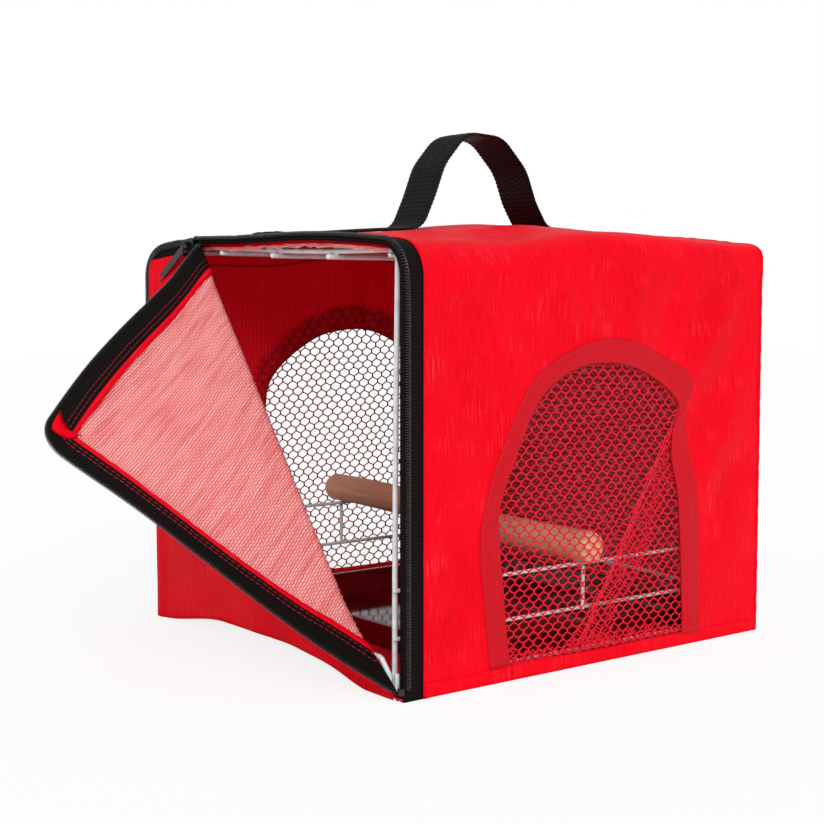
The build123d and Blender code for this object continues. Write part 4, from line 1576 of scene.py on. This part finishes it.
class BodyZip:
    """Zip tape round the cover's front edge, its coil and the closed chain."""

    @staticmethod
    def spot(run: float, inset: float, y: float) -> Vector:
        """Point beside the door edge."""
        x, z, _, _ = SHAPE.section(run, inset, ZIP_INSET)
        return SHAPE.drawn(Vector((x, y, z)))

    def corner_spot(self, run: float, across: float, out: float) -> Vector:
        """Point on the cover's front edge, across the corner and out from it."""
        slant = math.sqrt(0.5)
        return self.spot(run, -slant * (across + out), -149.0 + slant * (across - out))

    @staticmethod
    def turned(run: float) -> float:
        """How far the open coil has rolled on to the side, up the right edge."""
        return 2.6 * (1 - smoothstep((run - SHAPE.corner_z + 20) / 60))

    def build(self) -> list[Piece]:
        """Make the tape, both coils and the seam allowance under the roof."""
        return [self.tape(), self.open_coil(), self.closed_chain(), self.seam_allowance()]

    def tape(self) -> Piece:
        """Tape that turns from the front edge on to the sides and the roof."""
        count = 300
        rings, flats = [], []
        profile = ((-148.9, -3.5), (-149.0, -1.0), (-148.9, -0.1), (-148.2, 0.12), (-144.0, 0.1), (-139.0, 0.05),
                   (-132.5, -0.1), (-132.5, -1.0), (-140.0, -1.0), (-147.9, -1.0), (-148.2, -1.6), (-148.4, -3.5))
        for number in range(count + 1):
            run = SHAPE.girth * number / count
            ripple = 0.18 * waver(run * 0.09, 2.0, 0.0)
            rings.append([SHAPE.point(run, y, lift + (ripple if lift > -0.5 else 0.0)) for y, lift in profile])
            flats.append([(y, run) for y, _ in profile])
        return place(band("zip_tape_cover", ZIP_TAPE, rings, flats), "zipper_tape", "zipper_tape_body")

    def open_coil(self) -> Piece:
        """Coil on the cover's side of the open zip."""
        draft = Draft()
        start, end = 8.0, ZIP_LENGTH / 2 + 85.0
        line = [self.corner_spot(run, self.turned(run) + 1.3 * across, 0.85 + 0.8 * out)
                for run, across, out in windings(start, end)]
        draft.tube(line, COIL_YARN, 5)
        runs = [start + (end - start) * n / 300 for n in range(301)]
        draft.tube([self.corner_spot(run, self.turned(run) + 1.0, 0.5) for run in runs], 0.6, 6)
        return place(draft.build("zip_coil_cover", COIL), "zipper_coil", "zipper_coil_body")

    def closed_chain(self) -> Piece:
        """Both coils, meshed, from the slider down the left edge."""
        draft = Draft()
        start, end = ZIP_LENGTH / 2 + 88.0, ZIP_LENGTH - 8.0
        for centre, phase, spine in ((1.7, 0.0, 0.7), (3.25, math.pi, 4.3)):
            draft.tube(coil_path(start, end, centre, 1.45, phase, self.spot), 0.48, 5)
            draft.tube([self.spot(start + (end - start) * n / 200, spine, -149.6) for n in range(201)], 0.5, 6)
        return place(draft.build("zip_chain_closed", COIL), "zipper_coil", "zipper_chain_closed")

    def seam_allowance(self) -> Piece:
        """Raw puckered edge of the roof cloth, hanging inside under the tape."""
        columns, rows = 220, 6
        start, end = SHAPE.corner_z + 30, SHAPE.girth - SHAPE.corner_z - 74
        rings, flats = [], []
        for number in range(columns + 1):
            run = start + (end - start) * number / columns
            ring = []
            for row in range(rows + 1):
                share = row / rows
                drop = 4.4 + (3.0 + 2.2 * waver(run * 0.11, 0.0, 6.0)) * share
                pucker = 2.2 * waver(run * 0.16, share, 2.5) * share
                ring.append(SHAPE.point(run, -145.2 + pucker, -drop))
            rings.append(ring)
            flats.append([(run, row * 1.3) for row in range(rows + 1)])
        draft = Draft(slots=[0 if row < 2 else 2 for _ in range(columns) for row in range(rows)])
        draft.loft(rings, flats, closed=False)
        piece = thicken(draft.build("roof_seam_allowance", TAFFETA, TAFFETA, PALE_WEAVE, PALE_WEAVE), 0.5)
        return place(piece, "cover_cloth")


# ---- wire cage
@dataclass
class Cage:
    """Welded wire cage: straight wires, two sills with hooked ends and the welds."""

    radius: float = 1.6
    thin_radius: float = 1.2
    upright_x: float = 124.5
    post_shift: float = 6.0

    def build(self) -> list[Piece]:
        """Make every wire and the weld beads."""
        made = [self.sill(node) if "sill" in node else self.straight(node) for node in self.wires()]
        return made + [self.welds()]

    @staticmethod
    def wires() -> list[str]:
        """Nodes of the wires, in the order of their names."""
        return sorted(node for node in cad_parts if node.startswith(("frame_", "roof_long", "roof_cross")))

    def axis(self, node: str) -> tuple[Vector, Vector, float]:
        """Start, end and radius of the straight wire that a node holds."""
        low, high = (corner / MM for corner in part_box(node))
        size = high - low
        along = max(range(3), key=lambda index: size[index])
        middle = (low + high) / 2
        start, end = middle.copy(), middle.copy()
        start[along], end[along] = low[along], high[along]
        if "post" in node:
            start.y -= self.post_shift
            end.y -= self.post_shift
        return start, end, self.thin_radius if "rail" in node else self.radius

    @staticmethod
    def racked(point: Vector) -> Vector:
        """Where a point of the square cage lies after knocks have racked it."""
        left = 6.0 * smoothstep((70 - point.x) / 190) * min(1.0, max(0.0, point.z - 9) / 50)
        right = -3.4 * smoothstep((point.x + 70) / 190) * min(1.0, max(0.0, point.z - 9) / 27)
        right *= 1 - smoothstep((point.z - 80) / 120)
        return point + Vector((3.2 * (point.z / 247) ** 2, 0.0, left + right))

    def straight(self, node: str) -> Piece:
        """Round, slightly wavering wire in the place of a CAD bar."""
        start, end, radius = self.axis(node)
        seed = float(sum(ord(letter) for letter in node) % 97)
        path = []
        for number in range(25):
            share = number / 24
            sway = 0.12 * math.sin(math.pi * share)
            nudge = Vector([sway * waver(share * 3, seed, axis) for axis in range(3)])
            path.append(self.racked(start.lerp(end, share) + nudge))
        draft = Draft()
        draft.rod(path, radius)
        name = node.replace("frame_", "cage_").replace("roof_", "cage_roof_")
        return place(draft.build(name, WIRE), "wire", node)

    def sill(self, node: str) -> Piece:
        """Cross wire with a bent hook at each end, under the bottom wires."""
        low, high = (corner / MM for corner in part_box(node))
        y = (low.y + high.y) / 2
        z = high.z - self.radius
        hook = 2 * self.radius + 0.1
        bottom_x = self.upright_x + 2 * self.radius + 0.05
        foot = low.z + self.radius
        half = [Vector((x, y, height)) for x, height in (
            (self.upright_x - 8.5, z), (bottom_x - hook, 11.0), (bottom_x - hook, foot), (bottom_x + hook, foot),
            (bottom_x + hook, 15.0))]
        left = [Vector((-point.x, point.y, point.z)) for point in reversed(half)]
        middle = [Vector((x, y + 0.25 * math.sin(x * 0.03), z + 0.2 * math.sin(x * 0.05)))
                  for x in (-80, -40, 0, 40, 80)]
        bend = hook - 0.05
        radii = [bend, bend, 5.0, 5.0] + [30.0] * 5 + [5.0, 5.0, bend, bend]
        path = [self.racked(point) for point in rounded(left + middle + half, radii)]
        draft = Draft()
        draft.rod(path, self.radius)
        return place(draft.build(node.replace("frame_", "cage_"), WIRE), "wire", node)

    def welds(self) -> Piece:
        """Small beads where wires cross and were spot welded, covered by the powder coat."""
        draft = Draft()
        bars = [self.axis(node) for node in self.wires() if "sill" not in node]
        for number, first in enumerate(bars):
            for second in bars[number + 1 :]:
                touch = self.crossing(first, second)
                if touch is not None:
                    self.bead(draft, self.racked(touch[0]), touch[1], touch[2])
        return place(draft.build("cage_weld_beads", WIRE), "wire")

    def crossing(self, one: tuple[Vector, Vector, float], two: tuple[Vector, Vector, float]
                 ) -> tuple[Vector, Vector, float] | None:
        """Where two wires touch: the spot, the direction between them and the bead's size."""
        a, b = (one[1] - one[0]).normalized(), (two[1] - two[0]).normalized()
        across = a.cross(b)
        if across.length < 0.1:
            return None
        across.normalize()
        gap = (two[0] - one[0]).dot(across)
        if abs(gap) > one[2] + two[2] + 0.4:
            return None
        system = np.array([[*a], [*(-b)], [*across]]).T
        s, t, _ = np.linalg.solve(system, np.array(two[0] - one[0]))
        if not (-0.5 < s < (one[1] - one[0]).length + 0.5 and -0.5 < t < (two[1] - two[0]).length + 0.5):
            return None
        spot = (one[0] + a * s + two[0] + b * t) / 2
        return spot, across, min(one[2], two[2])

    def bead(self, draft: Draft, spot: Vector, way: Vector, radius: float) -> None:
        """Flattened blob of weld between two wires."""
        side = way.orthogonal().normalized()
        other = way.cross(side)
        rings = []
        for step in range(1, 7):
            polar = math.pi * step / 7
            size = radius * 1.12 * math.sin(polar)
            level = spot + way * (radius * 0.8 * math.cos(polar))
            angles = [2 * math.pi * number / 10 for number in range(10)]
            rings.append([level + (side * math.cos(angle) + other * math.sin(angle)) * size for angle in angles])
        draft.loft(rings)


# ---- perch and tray
@dataclass
class Perch:
    """Turned dowel with eased ends that sits on the upper rails in two saw grooves."""

    radius: float = 9.8
    groove: float = 0.2
    ease: float = 3.0
    sides: int = 64

    def build(self) -> Piece:
        """Make the dowel."""
        low, high = (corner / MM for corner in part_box("perch"))
        centre_y, centre_z = (low.y + high.y) / 2, high.z - self.radius + 1.3
        rail = sum(corner.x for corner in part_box("frame_rail_upper_right")) / 2 / MM
        nose = [(low.x, self.radius - self.ease), (low.x + 0.5, self.radius - 1.1), (low.x + self.ease, self.radius)]
        cuts = (-1.6, -1.55, 1.55, 1.6)
        inner = [cut - rail for cut in cuts] + [-110 + 220 * number / 30 for number in range(31)]
        inner += [cut + rail for cut in cuts]
        stations = nose + [(x, self.radius) for x in inner] + [(-x, radius) for x, radius in nose[::-1]]
        rings = []
        for x, radius in stations:
            ring = []
            cut = abs(abs(x) - rail) < 1.58
            for number in range(self.sides):
                angle = 2 * math.pi * number / self.sides
                real = radius * (1 + 0.004 * waver(x * 0.04, math.cos(angle) * 2, math.sin(angle) * 2))
                z = real * math.sin(angle)
                if cut:
                    z = max(z, -self.radius + self.groove)
                y = centre_y - Cage.post_shift + real * math.cos(angle)
                ring.append(Cage.racked(Vector((x, y, centre_z + z))))
            rings.append(ring)
        piece = band("turned_perch", DOWEL, rings, flip=True, hard_ends=True)
        return place(piece, "perch_wood", "perch", body=Body.PERCH)


@dataclass
class Tray:
    """Moulded droppings tray: sloping walls, round corners and a rolled lip."""

    corner: float = 26.0

    @staticmethod
    def ring(centre: Vector, half_x: float, half_y: float, corner: float, z: float) -> Line:
        """Rounded rectangle at a height."""
        points = []
        for quarter, (sx, sy) in enumerate(((1, 1), (-1, 1), (-1, -1), (1, -1))):
            for step in range(11):
                angle = math.pi / 2 * (quarter + step / 10)
                x = centre.x + sx * (half_x - corner) + corner * math.cos(angle)
                points.append(Vector((x, centre.y + sy * (half_y - corner) + corner * math.sin(angle), z)))
        return points

    def build(self) -> Piece:
        """Loft the outside, the lip and the inside, and close the floor."""
        low, high = (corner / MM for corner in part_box("tray"))
        centre = (low + high) / 2
        half_x, half_y = (high.x - low.x) / 2, (high.y - low.y) / 2
        top, foot = high.z, low.z
        profile = [
            (9.0, foot), (7.2, foot + 0.1), (6.4, foot + 0.9), (3.4, top - 3.2), (2.6, top - 2.6), (0.5, top - 2.4),
            (0.05, top - 1.8), (0.0, top - 1.0), (0.35, top - 0.3), (1.1, top), (3.0, top), (4.2, top - 0.2),
            (4.9, top - 0.9), (5.4, top - 2.2), (8.3, foot + 4.2), (9.4, foot + 2.7), (11.0, foot + 2.05),
            (14.0, foot + 1.95), (40.0, foot + 1.9), (70.0, foot + 1.9), (100.0, foot + 1.9),
        ]
        rings = []
        for inset, z in profile:
            corner = max(3.0, self.corner + 3.0 - inset)
            rings.append(self.ring(centre, half_x - inset, half_y - inset, corner, z))
        piece = band("droppings_tray", STYRENE, rings, hard_ends=True)
        return place(piece, "tray_plastic", "tray", body=Body.TRAY)


# ---- handle
@dataclass
class Handle:
    """Webbing handle: sewn flat over the roof, with a standing loop in the middle."""

    half_width: float = 17.0
    thickness: float = 1.6
    step: float = 0.62
    columns: int = 20
    rib: float = 3.0
    rib_height: float = 0.6
    front_run: tuple[float, ...] = (-138.0, -125.0, -100.0, -75.0, -39.0)
    loop: tuple[Flat, ...] = ((-28.0, 290.0), (-20.0, 310.0), (-1.0, 331.0), (29.0, 329.5), (50.0, 309.0),
                              (58.5, 288.0))
    back_run: tuple[float, ...] = (70.0, 90.0, 115.0, 135.0, 148.0)
    seam_x: float = 12.5
    seam_height: float = 1.9
    box_ends: tuple[float, float] = (2.0, 24.0)  # of the sewn box, from the foot of the loop

    def centre_line(self) -> Line:
        """Underside of the webbing from the door to the back, in Y and Z."""
        gap = 0.35
        points = [Vector((0, -147.5, SHAPE.roof_top(-147.5) + 1.2))]
        points += [Vector((0, y, SHAPE.roof_top(y) + gap)) for y in self.front_run]
        points += [Vector((0, y, z)) for y, z in self.loop]
        points += [Vector((0, y, SHAPE.roof_top(y) + gap)) for y in self.back_run]
        radii = [30.0] * 4 + [15.0, 40.0, 34.0, 20.0, 20.0, 34.0, 40.0, 13.0] + [30.0] * 3
        return rounded(points, radii)

    def build(self) -> list[Piece]:
        """Weave the webbing and sew it down."""
        return [self.webbing(), self.stitches()]

    def rows(self) -> list[tuple[Vector, Vector, float]]:
        """Point, upward direction and run at each step along the webbing."""
        line = self.centre_line()
        count = int(length_of(line) / self.step)
        spots = [Vector(point) for point in even([tuple(p) for p in line], count)]
        made = []
        for number, point in enumerate(spots):
            before, after = spots[max(0, number - 3)], spots[min(len(spots) - 1, number + 3)]
            tangent = (after - before).normalized()
            up = Vector((1, 0, 0)).cross(tangent).normalized()
            made.append((point, up, number * self.step))
        return made

    def webbing(self) -> Piece:
        """Woven band with raised ribs on both faces."""
        shares = [2 * column / self.columns - 1 for column in range(self.columns + 1)]
        rings, flats = [], []
        for point, up, run in self.rows():
            top, bottom = [], []
            for share in shares:
                x = share * self.half_width
                group = 0.5 * (int(abs(x) / 4.0) % 2)
                wave = 0.5 + 0.5 * math.sin(2 * math.pi * (run / self.rib + group))
                edge = 1 - abs(share) ** 10
                swell = (0.75 + self.rib_height * wave) * (0.45 + 0.55 * edge)
                top.append(point + up * (self.thickness * 0.5 + swell) + Vector((x, 0, 0)))
                low = self.rib_height * (0.5 + 0.5 * math.sin(2 * math.pi * (run / self.rib + 0.5 - group)))
                bottom.append(point + up * (0.25 - low * 0.6) + Vector((x, 0, 0)))
            rings.append(top + bottom[::-1])
            flat = [(share * self.half_width, run) for share in shares]
            flats.append(flat + [(x + 40, run) for x, _ in flat[::-1]])
        piece = band("handle_webbing", WEBBING, rings, flats)
        start = Vector((0, 0, SHAPE.roof_top(-46.0) + 3)) * MM
        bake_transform(piece)
        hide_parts("handle_strap_front", "handle_strap_back", "handle_loop")
        LOG.info("%s bends over its sewn feet", piece.name)
        return piece

    def stitches(self) -> Piece:
        """Red lockstitch across the webbing at its feet and along its flat runs."""
        draft = Draft()
        rows = [row for row in self.rows() if row[0].z < SHAPE.roof_top(0) + 0.5]
        front = [row for row in rows if row[0].y < -45]
        back = [row for row in rows if row[0].y > 76]
        for run, step in ((front[::-1], -1), (back, 1)):
            near = run[0][0].y
            for reach in self.box_ends:
                point, up, _ = min(run, key=lambda row: abs(row[0].y - near - step * reach))
                places = (-self.seam_x, -6, 0, 6, self.seam_x)
                sew(draft, [point + up * self.seam_height + Vector((x, 0, 0)) for x in places], 2.8, 2.2, 0.3)
            box = [row for row in run if self.box_ends[0] < abs(row[0].y - near) < self.box_ends[1]]
            for x in (-self.seam_x, self.seam_x):
                line = [point + up * self.seam_height + Vector((x, 0, 0)) for point, up, _ in box[::5]]
                sew(draft, line, 2.8, 2.2, 0.3)
        return place(draft.build("handle_stitches", RED_THREAD), "binding")


# ---- studio
@dataclass(frozen=True)
class StudioPaper(Finish):
    """Seamless background paper: matt and nearly white, with a faint tooth and a faint shadow on it."""

    glow: float = 0.85  # share of plain white to the camera, so that a faint shadow stays

    def dress(self, tree: Tree, shader: Node) -> None:
        """Faint tooth of the paper."""
        tooth = grain(tree, solid_place(tree, 3.0))
        paint(tree, shader, tooth, "#fafafa", "#fefefe")
        dull(shader, 0.1)
        seen = add(tree, "LightPath")
        share = add(tree, "Math", {0: seen.outputs["Is Camera Ray"], 1: self.glow}, operation="MULTIPLY")
        white = add(tree, "Emission", {"Color": linear("#ffffff"), "Strength": 1.0})
        mixed = add(tree, "MixShader", {0: share, 1: shader, 2: white})
        output = next(node for node in tree.nodes if node.type == "OUTPUT_MATERIAL")
        tree.links.new(mixed.outputs[0], output.inputs["Surface"])


@dataclass
class Studio:
    """Pale floor, soft light and the camera."""

    azimuth: float = 52.42
    elevation: float = 4.59
    camera_at: tuple[float, float, float] = (0.7909, -0.6434, 0.2272)
    focal_pixels: float = 1503.6
    sensor: float = 36.0
    sun_towards: tuple[float, float, float] = (0.72, -0.42, 0.52)
    sun_spread: float = 32.0
    sun_power: float = 1.8
    soft_light: float = 0.62

    def build(self) -> None:
        """Set the stage, the light and the camera."""
        self.floor()
        self.world()
        self.sun()
        self.camera()
        bpy.context.scene.view_settings.view_transform = "Standard"

    def floor(self) -> None:
        """Large pale floor that keeps the carrier's shadow."""
        draft = Draft()
        reach, cells = 4000.0, 16
        places = [reach * (2 * number / cells - 1) for number in range(cells + 1)]
        draft.loft([[Vector((x, y, -0.05)) for x in places] for y in places], closed=False)
        piece = draft.build("studio_floor", StudioPaper("pale_studio_paper", roughness=0.9))

    def world(self) -> None:
        """Even soft light all round, plain white to the camera and through clear parts."""
        world = bpy.data.worlds.new("studio_white")
        bpy.context.scene.world = world
        world.use_nodes = True
        tree = world.node_tree
        tree.nodes.clear()
        path = add(tree, "LightPath")
        clear = add(tree, "Math", {0: path.outputs["Is Camera Ray"], 1: path.outputs["Is Transmission Ray"]},
                    operation="MAXIMUM")
        soft = add(tree, "Background", {"Color": linear("#ffffff"), "Strength": self.soft_light})
        white = add(tree, "Background", {"Color": linear("#ffffff"), "Strength": 1.0})
        mixed = add(tree, "MixShader", {0: clear, 1: soft, 2: white})
        add(tree, "OutputWorld", {"Surface": mixed})

    def sun(self) -> None:
        """Broad, even light from one side, as from a wall of softboxes."""
        light = bpy.data.lights.new("window_light", "SUN")
        light.angle = math.radians(self.sun_spread)
        light.energy = self.sun_power
        made = bpy.data.objects.new("window_light", light)
        made.rotation_mode = "QUATERNION"
        made.rotation_quaternion = Vector(self.sun_towards).to_track_quat("Z", "Y")
        bpy.context.scene.collection.objects.link(made)

    def camera(self) -> None:
        """Camera level with the carrier's top, turned to its door corner."""
        data = bpy.data.cameras.new("studio_camera")
        data.sensor_width = self.sensor
        data.lens = self.focal_pixels * self.sensor / IMAGE_SIDE
        data.clip_start, data.clip_end = 0.05, 20.0
        made = bpy.data.objects.new("studio_camera", data)
        azimuth, elevation = math.radians(self.azimuth), math.radians(self.elevation)
        level = math.cos(elevation)
        ahead = Vector((-math.sin(azimuth) * level, math.cos(azimuth) * level, -math.sin(elevation)))
        right = Vector((math.cos(azimuth), math.sin(azimuth), 0.0))
        up = right.cross(ahead)
        turn = Matrix((right, up, -ahead)).transposed().to_4x4()
        turn.translation = Vector(self.camera_at)
        made.matrix_world = turn
        bpy.context.scene.collection.objects.link(made)
        bpy.context.scene.camera = made


def dress_kept_nodes() -> None:
    """Give the zip's slider, pull tab and end stops, whose CAD form is right, their finish."""
    for node in ("zipper_slider", "zipper_pull_tab", "zipper_end_stops"):
        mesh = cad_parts[node].data
        mesh.materials.clear()
        mesh.materials.append(ENAMEL.material())


def report(pieces: Iterable[Piece]) -> None:
    """Log the size of each piece."""
    for piece in pieces:
        LOG.info("%s: %d points, %d faces", piece.name, len(piece.data.vertices), len(piece.data.polygons))


def main() -> None:
    """Build the sub-assemblies in order, then the studio."""
    logging.basicConfig(level=logging.INFO, format="%(name)s: %(message)s")
    tunnel = Tunnel()
    right = WindowDressing(Side.RIGHT, tunnel, pitch=7.8, row=3.85, slope=0.0, link=1.75, link_radius=0.66,
                           strand_radius=0.54, yarn=NET_YARN)
    left = WindowDressing(Side.LEFT, tunnel, pitch=8.5, row=4.65, slope=4.0, link=2.4, link_radius=0.62,
                          strand_radius=0.5, yarn=SHADED_YARN)
    report([tunnel.build()])
    for assembly in (EndPanels(), right, left, Door(), BodyZip(), Cage()):
        report(assembly.build())
    report([Perch().build(), Tray().build()])
    report(Handle().build())
    dress_kept_nodes()
    Studio().build()


if __name__ == "__main__":
    main()
